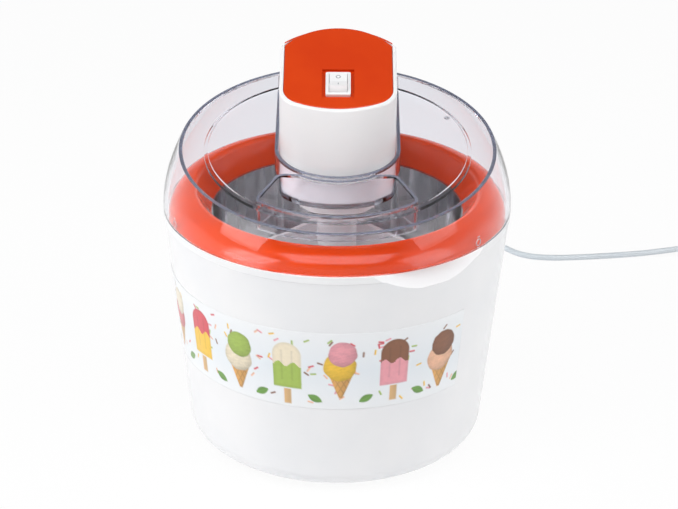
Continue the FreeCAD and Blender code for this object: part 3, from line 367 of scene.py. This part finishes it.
def enamelled_copper():
    """Wound enamelled copper: turns of fine wire, drawn nearly 4 mm apart so that they show."""
    material, tree, shader, place = principled("enamelled_copper", {"Metallic": 1.0, "Coat Weight": 0.4})
    tinted(tree, shader, place, ("#A85A2C", "#BE6C38"), 8.0)
    glossed(tree, shader, place, (0.28, 0.36), 6.0)
    ridged(tree, shader, place, 3.77, 0.15, 0.0, bands_direction="Z")
    return material


def sintered_ferrite():
    """Pressed and sintered ferrite: dark grey, with a chalky grain."""
    return grained("sintered_ferrite", ("#2C2B2B", "#383736"), (0.55, 0.7), 0.5, 0.02, {})


def soft_pvc():
    """Extruded pale grey PVC: soft sheen, faintly wavy along the cord."""
    return grained("extruded_grey_pvc", ("#D3DBE1", "#DCE3E8"), (0.32, 0.42), 1.5, 0.02, {"IOR": 1.53})


def woven_tie():
    """Hook and loop band: black nylon pile, drawn 0.5 mm coarse so that it shows."""
    values = {"Sheen Weight": 0.3, "Sheen Roughness": 0.5}
    return grained("nylon_pile_tie", ("#161617", "#232325"), (0.75, 0.9), 0.5, 0.12, values)


def nickel_plate():
    """Nickel-plated brass: a warm bright mirror."""
    return grained("nickel_plate", ("#BDB9AE", "#C9C5BA"), (0.14, 0.22), 1.0, 0.003, {"Metallic": 1.0})


def printed_film():
    """Printed paper under a glossy film: the colours lie in the mesh, with a fine paper tooth."""
    values = {"IOR": 1.5, "Coat Weight": 0.5, "Coat Roughness": 0.12}
    material, tree, shader, place = principled("printed_film", values)
    colour = add(tree, "ShaderNodeVertexColor", layer_name="print")
    tree.links.new(colour.outputs["Color"], shader.inputs["Base Color"])
    glossed(tree, shader, place, (0.3, 0.38), 9.0)
    dimpled(tree, shader, place, 0.5, 0.004)
    return material


def pad_ink():
    """Pad-printed slate ink on the switch: flat, with a slightly broken colour."""
    return grained("pad_printed_ink", ("#5B6470", "#677080"), (0.4, 0.5), 0.4, 0.004, {})


def frosted_mark():
    """Frosted moulding mark in the clear lid: rougher than the wall round it, so that it shows white."""
    values = {"IOR": 1.52, "Transmission Weight": 0.75}
    return grained("frosted_mould_mark", ("#DFE0E8", "#E6E7EE"), (0.35, 0.45), 0.6, 0.02, values)


def painted_edge_shade_san():
    """Edge of the clear SAN, soft and blue-grey: the blue-grey is painted shade and reflection, standing in
    for the dark lines that light draws along the clear wall's edges, while the edge still reflects and lets
    light through.
    """
    values = {"IOR": 1.5, "Transmission Weight": 0.65}
    return grained("clear_san_painted_edge_shade", ("#9EA3B8", "#AEB3C6"), (0.06, 0.1), 3.0, 0.004, values)


finishes = {
    "white_plastic": white_abs(),
    "orange_plastic": orange_abs(),
    "clear_plastic": clear_san(),
    "polished_aluminium": polished_aluminium(),
    "gel": freezing_gel(),
    "rubber": black_rubber(),
    "grey_rubber": grey_rubber(),
    "steel": bright_steel(),
    "bronze": sintered_bronze(),
    "brass": stamped_brass(),
    "gear_plastic": natural_acetal(),
    "copper": enamelled_copper(),
    "ferrite": sintered_ferrite(),
    "cord_plastic": soft_pvc(),
    "tie_plastic": woven_tie(),
    "nickel": nickel_plate(),
}


def dress_nodes():
    """Every CAD node gets the finish of its slot, and the clear lid lets the lamps' light through."""
    for part in frame["record"]["subparts"]:
        node = nodes[part["node"]]
        node.data.materials.clear()
        node.data.materials.append(finishes[part["material_slot"]])
        node.visible_shadow = part["material_slot"] != "clear_plastic"


# Mesh pieces

def piece(name, mesh, material, body):
    """Finishes a bmesh as a smooth object that rides on a body."""
    bmesh.ops.recalc_face_normals(mesh, faces=mesh.faces)
    data = bpy.data.meshes.new(name)
    mesh.to_mesh(data)
    mesh.free()
    data.materials.append(material)
    data.shade_smooth()
    data.set_sharp_from_angle(angle=math.radians(40))
    made = bpy.data.objects.new(name, data)
    bpy.context.scene.collection.objects.link(made)
    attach(made, body)
    return made


def add_ring(mesh, profile, place, segments=48):
    """Closed ring: a profile of radius and height turned about the local Z axis."""
    loops = []
    for i in range(segments):
        turn = 2 * math.pi * i / segments
        loop = []
        for radius, height in profile:
            local = Vector((radius * math.cos(turn), radius * math.sin(turn), height))
            loop.append(mesh.verts.new(place @ (local * MM)))
        loops.append(loop)
    for i, loop in enumerate(loops):
        after = loops[(i + 1) % segments]
        for j in range(len(profile)):
            k = (j + 1) % len(profile)
            mesh.faces.new((loop[j], after[j], after[k], loop[k]))


def add_bar(mesh, place, length, width, height, segments=6):
    """Closed bar with a half-round top, along the local X axis and standing on its origin."""
    ends = []
    for x in (-length / 2, length / 2):
        loop = []
        for i in range(segments + 1):
            turn = math.pi * i / segments
            local = Vector((x, width / 2 * math.cos(turn), height * math.sin(turn)))
            loop.append(mesh.verts.new(place @ (local * MM)))
        ends.append(loop)
    mesh.faces.new(ends[0])
    mesh.faces.new(ends[1])
    for i in range(segments + 1):
        k = (i + 1) % (segments + 1)
        mesh.faces.new((ends[0][i], ends[0][k], ends[1][k], ends[1][i]))


def at(x, y, z):
    """Shift to a place in millimetres."""
    return Matrix.Translation(Vector((x, y, z)) * MM)


def turned(axis, angle):
    """Turn about an axis by an angle in degrees."""
    return Matrix.Rotation(math.radians(angle), 4, axis)


def bucket_radius(z):
    """Outer radius of the bucket's tapered wall at a height."""
    share = (z - bucket_low_z) / (bucket_high_z - bucket_low_z)
    return bucket_low_radius + share * (bucket_high_radius - bucket_low_radius)


def round_point(radius, azimuth, z):
    """Point at a radius, an azimuth in degrees and a height, in metres."""
    turn = math.radians(azimuth)
    return Vector((radius * math.cos(turn), radius * math.sin(turn), z)) * MM


# Printed band: its design is worked out point by point in millimetres, right edge and lower edge at zero

def soft_edge(distance):
    """Share of ink at a distance inside an outline."""
    return max(0.0, min(1.0, distance / band_step + 0.5))


def mixed(under, over, share):
    """Colour with a share of another over it."""
    return tuple(a + (b - a) * share for a, b in zip(under, over))


def shaded(colour, light):
    """Colour under more or less light."""
    return tuple(c * light for c in colour[:3])


def leaned(u, v, spot):
    """Point along and across a spot that leans."""
    lean = math.radians(spot["lean"])
    x = u - spot["u"]
    y = v - spot["v"]
    return x * math.cos(lean) + y * math.sin(lean), y * math.cos(lean) - x * math.sin(lean)


def scoop_ink(u, v, spot):
    """Scooped ball: lit from the upper left, with torn ridges and a ragged edge."""
    x = u - spot["u"]
    y = v - spot["v"]
    radius = spot["radius"]
    turn = math.atan2(y, x)
    ragged = noise.noise(Vector((math.cos(turn) * 2.2, math.sin(turn) * 2.2, spot["u"])))
    edge = radius * (1 + 0.06 * ragged)
    far = math.hypot(x, y) / edge
    if far > 1.1:
        return 0.0, None
    bulge = math.sqrt(max(0.0, 1 - far * far))
    light = 0.62 + 0.3 * bulge + 0.16 * (0.5 * y + 0.45 * x) / radius
    ridges = noise.noise(Vector((x * 0.28, y * 0.85 + x * 0.2, spot["u"])))
    crumbs = noise.noise(Vector((x * 1.1, y * 1.1, spot["v"])))
    return soft_edge(edge * (1 - far)), shaded(spot["colour"], light + 0.11 * ridges + 0.06 * crumbs)


def cone_ink(u, v, spot):
    """Wafer cone: pointed, with a raised lattice."""
    x = u - spot["u"]
    y = v - spot["v"]
    if not -0.6 < y < spot["height"] + 0.6:
        return 0.0, None
    half = spot["radius"] * (0.12 + 0.88 * y / spot["height"])
    inside = min(half - abs(x), y, spot["height"] - y)
    first = abs((x + 0.55 * y) / wafer_pitch % 1 - 0.5)
    second = abs((x - 0.55 * y) / wafer_pitch % 1 - 0.5)
    line = max(0.0, 1 - min(0.5 - first, 0.5 - second) / 0.16)
    light = 0.92 + 0.16 * x / max(half, 1.0) - 0.3 * line
    return soft_edge(inside), shaded(spot["colour"], light)


def lolly_ink(u, v, spot):
    """Ice lolly: rounded top, two pressed grooves, a dipped upper half and a flat wooden stick."""
    x = u - spot["u"]
    y = v - spot["v"]
    half = spot["radius"]
    height = spot["height"]
    stick = min(stick_half - abs(x), y + stick_length, 1.0 - y)
    if y > height - half:
        inside = half - math.hypot(x, y - height + half)
    else:
        inside = min(half - abs(x), y)
    if inside > -0.6:
        dip = height * 0.52 + 1.6 * math.sin(x * 0.7 + spot["u"])
        colour = spot["dip"] if y > dip else spot["colour"]
        groove = max(0.0, 1 - abs(abs(x) - half * 0.36) / 0.9)
        end = 0.0 if 5 < y < height - 5 else 1.0
        roll = 0.12 * min(1.0, inside / 2.4)
        gloss = 0.05 * noise.noise(Vector((x * 0.5, y * 0.5, spot["u"])))
        return soft_edge(inside), shaded(colour, 0.84 + roll - 0.16 * groove * (1 - end) + gloss)
    return soft_edge(stick), shaded(linear("#DDB37C"), 0.95 + 0.05 * x)


def leaf_ink(u, v, spot):
    """Pointed leaf with a pale midrib."""
    x, y = leaned(u, v, spot)
    share = x / spot["height"]
    if not 0 < share < 1:
        return 0.0, None
    half = spot["radius"] * math.sin(math.pi * share) ** 0.8
    rib = max(0.0, 1 - abs(y) / 0.4)
    return soft_edge(half - abs(y)), shaded(spot["colour"], 0.85 + 0.12 * y / spot["radius"] + 0.25 * rib)


def strand_ink(u, v, spot):
    """Sugar strand: a short rod with round ends."""
    x, y = leaned(u, v, spot)
    along = max(0.0, abs(x) - spot["height"] / 2)
    inside = spot["radius"] - math.hypot(along, y)
    return soft_edge(inside), shaded(spot["colour"], 0.9 + 0.2 * y / spot["radius"])


inks = {
    "pistachio": linear("#A9C455"), "strawberry": linear("#F2A3AE"), "lemon": linear("#FBCB35"),
    "cream": linear("#F6E9CE"), "cocoa": linear("#8A5636"), "raspberry": linear("#DE4A57"),
    "wafer": linear("#DFA658"), "mint": linear("#6FA243"), "peach": linear("#F9C3A0"),
}


def motif(kind, u, v, radius, colour, **more):
    """One motif: its kind, place, half width and ink, with what else its kind needs."""
    return {"kind": kind, "u": u, "v": v, "radius": radius, "colour": inks[colour], **more}


def cone_with_scoops(u, low, flavours):
    """Wafer cone that carries scoops, each upper one a little smaller."""
    made = [motif("cone", u, low, cone_half, "wafer", height=cone_height)]
    for i, flavour in enumerate(flavours):
        radius = scoop_radius - scoop_shrink * i
        high = low + scoop_rise + scoop_step * i
        made.append(motif("scoop", u + scoop_sways[i % 2], high, radius, flavour))
    return made


def band_spots(length, height):
    """Cones and lollies in turn along the band, with leaves and sugar strands between them."""
    cones = (("peach", "cocoa"), ("lemon", "strawberry"), ("cream", "pistachio"), ("raspberry", "cream"))
    lollies = (
        ("strawberry", "cocoa"), ("pistachio", "cream"), ("lemon", "raspberry"), ("cream", "strawberry"),
    )
    strand_inks = ("raspberry", "lemon", "pistachio", "peach", "strawberry", "cocoa")
    pitch = length / (2 * motif_pairs)
    made = []
    dice = random.Random(11)
    for i in range(strand_count):
        colour = dice.choice(strand_inks)
        u = dice.uniform(strand_margin, length - strand_margin)
        v = dice.uniform(strand_margin, height - strand_margin)
        lean = dice.uniform(0, 180)
        made.append(motif("strand", u, v, strand_radius, colour, height=strand_length, lean=lean))
    for i in range(motif_pairs):
        cone_u = pitch * (2 * i + 0.5)
        lolly_u = pitch * (2 * i + 1.5)
        made += cone_with_scoops(cone_u, cone_low + i % 2 * cone_lift, cones[i])
        for side, lean in zip((1, -1), leaf_leans):
            leaf_u = cone_u + side * leaf_reach
            made.append(motif("leaf", leaf_u, leaf_low, leaf_half, "mint", height=leaf_length, lean=lean))
        body, dip = lollies[i]
        low = lolly_low - i % 2 * lolly_sink
        made.append(motif("lolly", lolly_u, low, lolly_half, body, height=lolly_height, dip=inks[dip]))
    return made


ink_of = {"scoop": scoop_ink, "cone": cone_ink, "lolly": lolly_ink, "leaf": leaf_ink, "strand": strand_ink}


def band_colour(u, v, spots, height):
    """Pale paper that is a touch bluer towards the middle, with every spot's ink over it."""
    middle = 1 - abs(2 * v / height - 1)
    colour = mixed(linear("#F3F5F7")[:3], linear("#E6EDF3")[:3], 0.8 * middle)
    for each in spots:
        reach = each.get("height", 0.0) + each["radius"] + 12.0
        if abs(u - each["u"]) < reach:
            share, ink = ink_of[each["kind"]](u, v, each)
            if share > 0:
                colour = mixed(colour, ink, share)
    return colour


def make_band():
    """Thin printed sheet that follows the bucket's tapered wall."""
    height = band_high_z - band_low_z
    length = math.radians(band_span) * bucket_radius((band_low_z + band_high_z) / 2)
    columns = round(length / band_step)
    rows = round(height / band_step)
    spots = band_spots(length, height)
    mesh = bmesh.new()
    ink = mesh.verts.layers.float_color.new("print")
    grid = []
    for i in range(columns + 1):
        u = length * i / columns
        line = []
        for j in range(rows + 1):
            v = height * j / rows
            z = band_low_z + v
            azimuth = band_right_azimuth - band_span * i / columns
            vert = mesh.verts.new(round_point(bucket_radius(z) + band_lift, azimuth, z))
            vert[ink] = band_colour(u, v, spots, height) + (1.0,)
            line.append(vert)
        grid.append(line)
    for i in range(columns):
        for j in range(rows):
            mesh.faces.new((grid[i][j], grid[i][j + 1], grid[i + 1][j + 1], grid[i + 1][j]))
    band = piece("printed_band", mesh, printed_film(), "base")
    sheet = band.modifiers.new("film", "SOLIDIFY")
    sheet.thickness = band_thickness * MM
    sheet.offset = -1


# Marks and small mouldings

def make_switch_marks():
    """A ring on the rear face of the rocker and a stroke on the front one."""
    along = switch_y / math.cos(math.radians(top_tilt))
    pivot = at(0, 0, top_axis_z) @ turned("X", top_tilt)
    pivot = pivot @ at(0, along, rocker_pivot_z) @ turned("X", -rocker_half_turn)
    lean = math.degrees(math.atan2(rocker_end[1] - rocker_middle_z, rocker_end[0]))
    middle_y = rocker_end[0] * rocker_mark_share
    middle_z = rocker_middle_z + (rocker_end[1] - rocker_middle_z) * rocker_mark_share
    ink = pad_ink()
    ring = bmesh.new()
    add_ring(ring, off_mark_profile, pivot @ at(0, middle_y, middle_z) @ turned("X", lean))
    piece("switch_off_mark", ring, ink, "rocker")
    stroke = bmesh.new()
    place = pivot @ at(0, -middle_y, middle_z - on_mark_sink) @ turned("X", -lean) @ turned("Z", 90)
    add_bar(stroke, place, on_mark_length, on_mark_width, on_mark_height)
    piece("switch_on_mark", stroke, ink, "rocker")


def lid_radius(z):
    """Radius of the lid's domed side at a height near its skirt."""
    drop = lid_skirt_radius - lid_rim_radius
    bend = (lid_height ** 2 + drop ** 2) / (2 * drop)
    return lid_skirt_radius - bend + math.sqrt(bend ** 2 - (z - lid_bottom_z) ** 2)


def on_lid_side(azimuth, z):
    """Frame on the lid's side whose local Z points outwards and whose local Y points up."""
    place = Matrix.Translation(round_point(lid_radius(z), azimuth, z))
    return place @ turned("Z", azimuth) @ turned("Y", 90) @ turned("Z", 90)


def make_lid_marks():
    """Alignment marks near the lid's edge, and the gate's round scar on its top."""
    frost = frosted_mark()
    marks = bmesh.new()
    for azimuth in lid_mark_azimuths:
        place = on_lid_side(azimuth, lid_mark_z)
        add_ring(marks, lid_mark_profile, place, 32)
        for side in (-1, 1):
            add_bar(marks, place @ at(0, side * 3.4, -0.05), 2.4, 0.7, 0.25)
    piece("lid_alignment_marks", marks, frost, "lid")
    scar = bmesh.new()
    x, y = gate_scar_place
    z = lid_bottom_z + lid_height + lid_slope * y - lid_recess_depth
    level = turned("X", math.degrees(math.atan(lid_slope)))
    add_ring(scar, gate_scar_profile, at(x, y, z) @ level, 32)
    piece("lid_gate_scar", scar, frost, "lid")


def arc_points(centre_y, radius, start, end, count, centre_x=0.0):
    """Points on an arc in plan; its angles are measured in degrees from the front, towards the right."""
    points = []
    for i in range(count + 1):
        turn = math.radians(start + (end - start) * i / count)
        points.append((centre_x + radius * math.sin(turn), centre_y - radius * math.cos(turn)))
    return points


def rounded_corner(before, corner, after, reach, count=6):
    """Points of a round corner that starts and ends at a reach from it."""
    corner = Vector(corner)
    first = corner + (Vector(before) - corner).normalized() * reach
    last = corner + (Vector(after) - corner).normalized() * reach
    points = []
    for i in range(count + 1):
        share = i / count
        point = first * (1 - share) ** 2 + corner * 2 * share * (1 - share) + last * share ** 2
        points.append((point.x, point.y))
    return points


def filler_outline():
    """Crescent opening in plan, from its inner arc round its left horn, outer arc and right horn."""
    x, y = filler_shoulder
    centre_y = (x * x + y * y - filler_inner_y ** 2) / (2 * (y - filler_inner_y))
    lean = math.degrees(math.atan2(x, centre_y - y))
    inner = arc_points(centre_y, centre_y - filler_inner_y, lean, -lean, 16)
    span = math.degrees(math.asin(filler_corner_x / filler_outer_radius))
    outer = arc_points(0.0, filler_outer_radius, -span, span, 32)
    left_horn = (-filler_horn[0], filler_horn[1])
    left = rounded_corner(inner[-1], left_horn, outer[0], filler_corner_radius)
    left += rounded_corner(left_horn, outer[0], outer[2], filler_corner_radius)
    right = rounded_corner(outer[-3], outer[-1], filler_horn, filler_corner_radius)
    right += rounded_corner(outer[-1], filler_horn, inner[0], filler_corner_radius)
    return inner + left + outer[2:-2] + right


def well_outline():
    """Well in plan, from its right side round the front to its left side."""
    across = well_half_width - well_corner_radius
    reach = well_front_radius - well_corner_radius
    front_centre_y = well_front_y + well_front_radius
    corner_y = front_centre_y - math.sqrt(reach ** 2 - across ** 2)
    turn = math.degrees(math.asin(across / reach))
    right = arc_points(corner_y, well_corner_radius, 90, turn, 10, across)
    front = arc_points(front_centre_y, well_front_radius, turn, -turn, 10)
    left = arc_points(corner_y, well_corner_radius, -turn, -90, 10, -across)
    return [(well_half_width, well_end_y)] + right + front[1:-1] + left + [(-well_half_width, well_end_y)]


def add_bead(mesh, path, width, outset, depth, closed):
    """Half-round bead along a plan path on the lid's tilted top, set out sideways from the path."""
    count = len(path)
    loops = []
    for i, place in enumerate(path):
        before = Vector(path[i - 1] if closed or i else place)
        after = Vector(path[(i + 1) % count] if closed or i < count - 1 else place)
        way = (after - before).normalized()
        side = Vector((-way.y, way.x))
        loop = []
        for k in range(lid_bead_facets + 1):
            turn = math.pi * k / lid_bead_facets
            point = Vector(place) + side * (outset + width / 2 * math.cos(turn))
            rise = lid_bead_height * math.sin(turn)
            z = lid_bottom_z + lid_height + lid_slope * point.y - depth + rise
            loop.append(mesh.verts.new(Vector((point.x, point.y, z)) * MM))
        loops.append(loop)
    for i in range(count if closed else count - 1):
        here = loops[i]
        there = loops[(i + 1) % count]
        for k in range(len(here)):
            m = (k + 1) % len(here)
            mesh.faces.new((here[k], here[m], there[m], there[k]))
    if not closed:
        mesh.faces.new(loops[0])
        mesh.faces.new(loops[-1])


def make_lid_beads():
    """Beads on the lid's polished edges: its rim, the filler opening and the well, in a blue-grey that is
    painted edge shade and reflection.
    """
    edge = painted_edge_shade_san()
    gap = math.degrees(math.asin(lid_gap_half / lid_rim_radius))
    rim = arc_points(0.0, lid_rim_radius - lid_wall / 2, 180 - gap, gap - 180, 120)
    beads = {
        "lid_rim_bead": (rim, lid_wall, 0.0, 0.0, False),
        "lid_filler_bead": (filler_outline(), filler_wall, -filler_wall / 2, lid_recess_depth, True),
        "lid_well_bead": (well_outline(), lid_wall, lid_wall / 2, lid_recess_depth, False),
    }
    for name, bead in beads.items():
        mesh = bmesh.new()
        add_bead(mesh, *bead)
        piece(name, mesh, edge, "lid")


def make_relief_ribs():
    """Flexible ribs round the strain relief."""
    mesh = bmesh.new()
    back = turned("X", -90)
    for i in range(rib_count):
        along = rib_start + rib_pitch * i
        radius = relief_root_radius - (relief_root_radius - relief_tip_radius) * along / relief_length
        root = radius - rib_sink
        crest = radius + rib_rise
        profile = [
            (root, -rib_root_half), (crest, -rib_crest_half), (crest, rib_crest_half), (root, rib_root_half),
        ]
        add_ring(mesh, profile, at(0, relief_y + along, relief_z) @ back, 40)
    return piece("relief_ribs", mesh, finishes["cord_plastic"], "motor_unit")


def make_plug_grips():
    """Finger ribs across the plug's upper side."""
    mesh = bmesh.new()
    across = turned("Z", 90)
    for i in range(grip_count):
        x = plug_x + grip_start + grip_pitch * i
        place = at(x, plug_y, plug_top_z - grip_sink) @ across
        add_bar(mesh, place, grip_length, grip_width, grip_height)
    return piece("plug_grips", mesh, finishes["cord_plastic"], "motor_unit")


# Cord

def coil_route():
    """Half turns that spiral in, climb one layer and spiral out again, worked out from the turns' sides."""
    points = []
    for i, (start, end) in enumerate(zip(coil_sides, coil_sides[1:])):
        middle = (start + end) / 2
        radius = abs(start - end) / 2
        way = math.copysign(1, start)
        for k in range(coil_points):
            share = (k + 0.5) / coil_points
            turn = math.pi * share
            climb = share if i == coil_climb else float(i > coil_climb)
            x = coil_centre[0] + middle + way * radius * math.cos(turn)
            y = coil_centre[1] + way * radius * math.sin(turn)
            points.append((x, y, coil_low_z + climb * (coil_high_z - coil_low_z)))
    return points


def make_cord():
    """Mains cord on one smooth line from the strain relief to the plug."""
    route = drop_route + coil_route() + run_route
    curve = bpy.data.curves.new("mains_cord", "CURVE")
    curve.dimensions = "3D"
    curve.bevel_depth = cord_diameter / 2 * MM
    curve.bevel_resolution = 6
    curve.resolution_u = 6
    curve.use_fill_caps = True
    line = curve.splines.new("NURBS")
    line.points.add(len(route) - 1)
    for point, place in zip(line.points, route):
        point.co = (place[0] * MM, place[1] * MM, place[2] * MM, 1.0)
    line.order_u = 3
    line.use_endpoint_u = True
    curve.materials.append(finishes["cord_plastic"])
    cord = bpy.data.objects.new("mains_cord", curve)
    bpy.context.scene.collection.objects.link(cord)
    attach(cord, "motor_unit")
    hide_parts("mains_cord_drop", "cord_coil", "mains_cord_run")


# Studio

def seen(tree):
    """One where a ray comes from the camera, a gloss or a clear wall, and else nought."""
    path = add(tree, "ShaderNodeLightPath").outputs
    straight = add(
        tree, "ShaderNodeMath", links={0: path["Is Camera Ray"], 1: path["Is Transmission Ray"]},
        operation="MAXIMUM",
    )
    mirrored = add(
        tree, "ShaderNodeMath", links={0: straight.outputs[0], 1: path["Is Glossy Ray"]}, operation="MAXIMUM"
    )
    return mirrored.outputs[0]


def make_floor():
    """White table top that shows white and keeps a faint shadow."""
    data = bpy.data.meshes.new("floor")
    corners = [(x * floor_half, y * floor_half, -floor_drop) for x, y in ((-1, -1), (1, -1), (1, 1), (-1, 1))]
    data.from_pydata(corners, [], [(0, 1, 2, 3)])
    material = bpy.data.materials.new("white_table")
    material.use_nodes = True
    tree = material.node_tree
    tree.nodes.clear()
    matt = add(tree, "ShaderNodeBsdfDiffuse", {"Color": linear("#F4F4F5")})
    glow = add(tree, "ShaderNodeEmission", {"Color": (1, 1, 1, 1), "Strength": 1.0})
    share = add(tree, "ShaderNodeMath", {1: floor_glow}, {0: seen(tree)}, operation="MULTIPLY")
    blend = add(
        tree, "ShaderNodeMixShader",
        links={0: share.outputs[0], 1: matt.outputs["BSDF"], 2: glow.outputs["Emission"]},
    )
    add(tree, "ShaderNodeOutputMaterial", links={"Surface": blend.outputs[0]})
    data.materials.append(material)
    floor = bpy.data.objects.new("floor", data)
    bpy.context.scene.collection.objects.link(floor)


def make_world():
    """White surroundings to the eye; the room that lights the object has bright walls and a dim ceiling."""
    world = bpy.data.worlds.new("studio")
    bpy.context.scene.world = world
    world.use_nodes = True
    tree = world.node_tree
    tree.nodes.clear()
    way = add(tree, "ShaderNodeTexCoord").outputs["Generated"]
    axes = add(tree, "ShaderNodeSeparateXYZ", links={"Vector": way}).outputs
    behind = add(
        tree, "ShaderNodeMapRange", {"From Min": -0.5, "From Max": 0.4, "To Min": 0.24, "To Max": 0.85},
        {"Value": axes["Y"]},
    )
    overhead = add(
        tree, "ShaderNodeMapRange", {"From Min": 0.1, "From Max": 0.5, "To Min": 1.0, "To Max": 0.16},
        {"Value": axes["Z"]},
    )
    back = add(
        tree, "ShaderNodeMath", links={0: behind.outputs[0], 1: overhead.outputs[0]}, operation="MULTIPLY"
    )
    across = add(tree, "ShaderNodeMath", links={0: axes["X"]}, operation="ABSOLUTE")
    beside = add(
        tree, "ShaderNodeMapRange", {"From Min": 0.55, "From Max": 0.8, "To Min": 0.0, "To Max": 1.0},
        {"Value": across.outputs[0]},
    )
    below = add(
        tree, "ShaderNodeMapRange", {"From Min": 0.5, "From Max": 0.65, "To Min": 1.0, "To Max": 0.0},
        {"Value": axes["Z"]},
    )
    sides = add(
        tree, "ShaderNodeMath", links={0: beside.outputs[0], 1: below.outputs[0]}, operation="MULTIPLY"
    )
    light = add(tree, "ShaderNodeMath", links={0: back.outputs[0], 1: sides.outputs[0]}, operation="MAXIMUM")
    room = add(tree, "ShaderNodeBackground", {"Color": (1, 1, 1, 1)}, {"Strength": light.outputs[0]})
    white = add(tree, "ShaderNodeBackground", {"Color": (1, 1, 1, 1), "Strength": 1.0})
    path = add(tree, "ShaderNodeLightPath").outputs
    blend = add(
        tree, "ShaderNodeMixShader",
        links={0: path["Is Camera Ray"], 1: room.outputs["Background"], 2: white.outputs["Background"]},
    )
    add(tree, "ShaderNodeOutputWorld", links={"Surface": blend.outputs[0]})


def add_softbox(name, place, size, power):
    """Soft lamp that looks at the middle of the object."""
    data = bpy.data.lights.new(name, "AREA")
    data.shape = "RECTANGLE"
    data.size = size[0]
    data.size_y = size[1]
    data.energy = power
    lamp = bpy.data.objects.new(name, data)
    lamp.location = place
    lamp.rotation_euler = (Vector(lamp_aim) - Vector(place)).to_track_quat("-Z", "Y").to_euler()
    bpy.context.scene.collection.objects.link(lamp)


def set_light_paths():
    """Lets light cross the clear lid and the bowl's mirror walls often enough to come out again."""
    paths = bpy.context.scene.cycles
    paths.max_bounces = 32
    paths.transmission_bounces = 24
    paths.glossy_bounces = 16


def make_camera():
    """Camera at the photo's viewing angle."""
    data = bpy.data.cameras.new("camera")
    data.lens = camera_lens
    data.sensor_width = camera_sensor
    data.shift_x = camera_shift
    camera = bpy.data.objects.new("camera", data)
    camera.location = Vector(camera_place) * MM
    camera.rotation_mode = "ZYX"
    camera.rotation_euler = (math.radians(camera_tilt), 0.0, math.radians(camera_roll))
    bpy.context.scene.collection.objects.link(camera)
    bpy.context.scene.camera = camera


dress_nodes()
make_camera()
ribs = make_relief_ribs()
grips = make_plug_grips()
make_cord()
make_band()
make_switch_marks()
make_lid_marks()
make_lid_beads()
make_floor()
make_world()
set_light_paths()
for name, (place, size, power) in softboxes.items():
    add_softbox(name, place, size, power)
bpy.context.scene.view_settings.view_transform = "Standard"
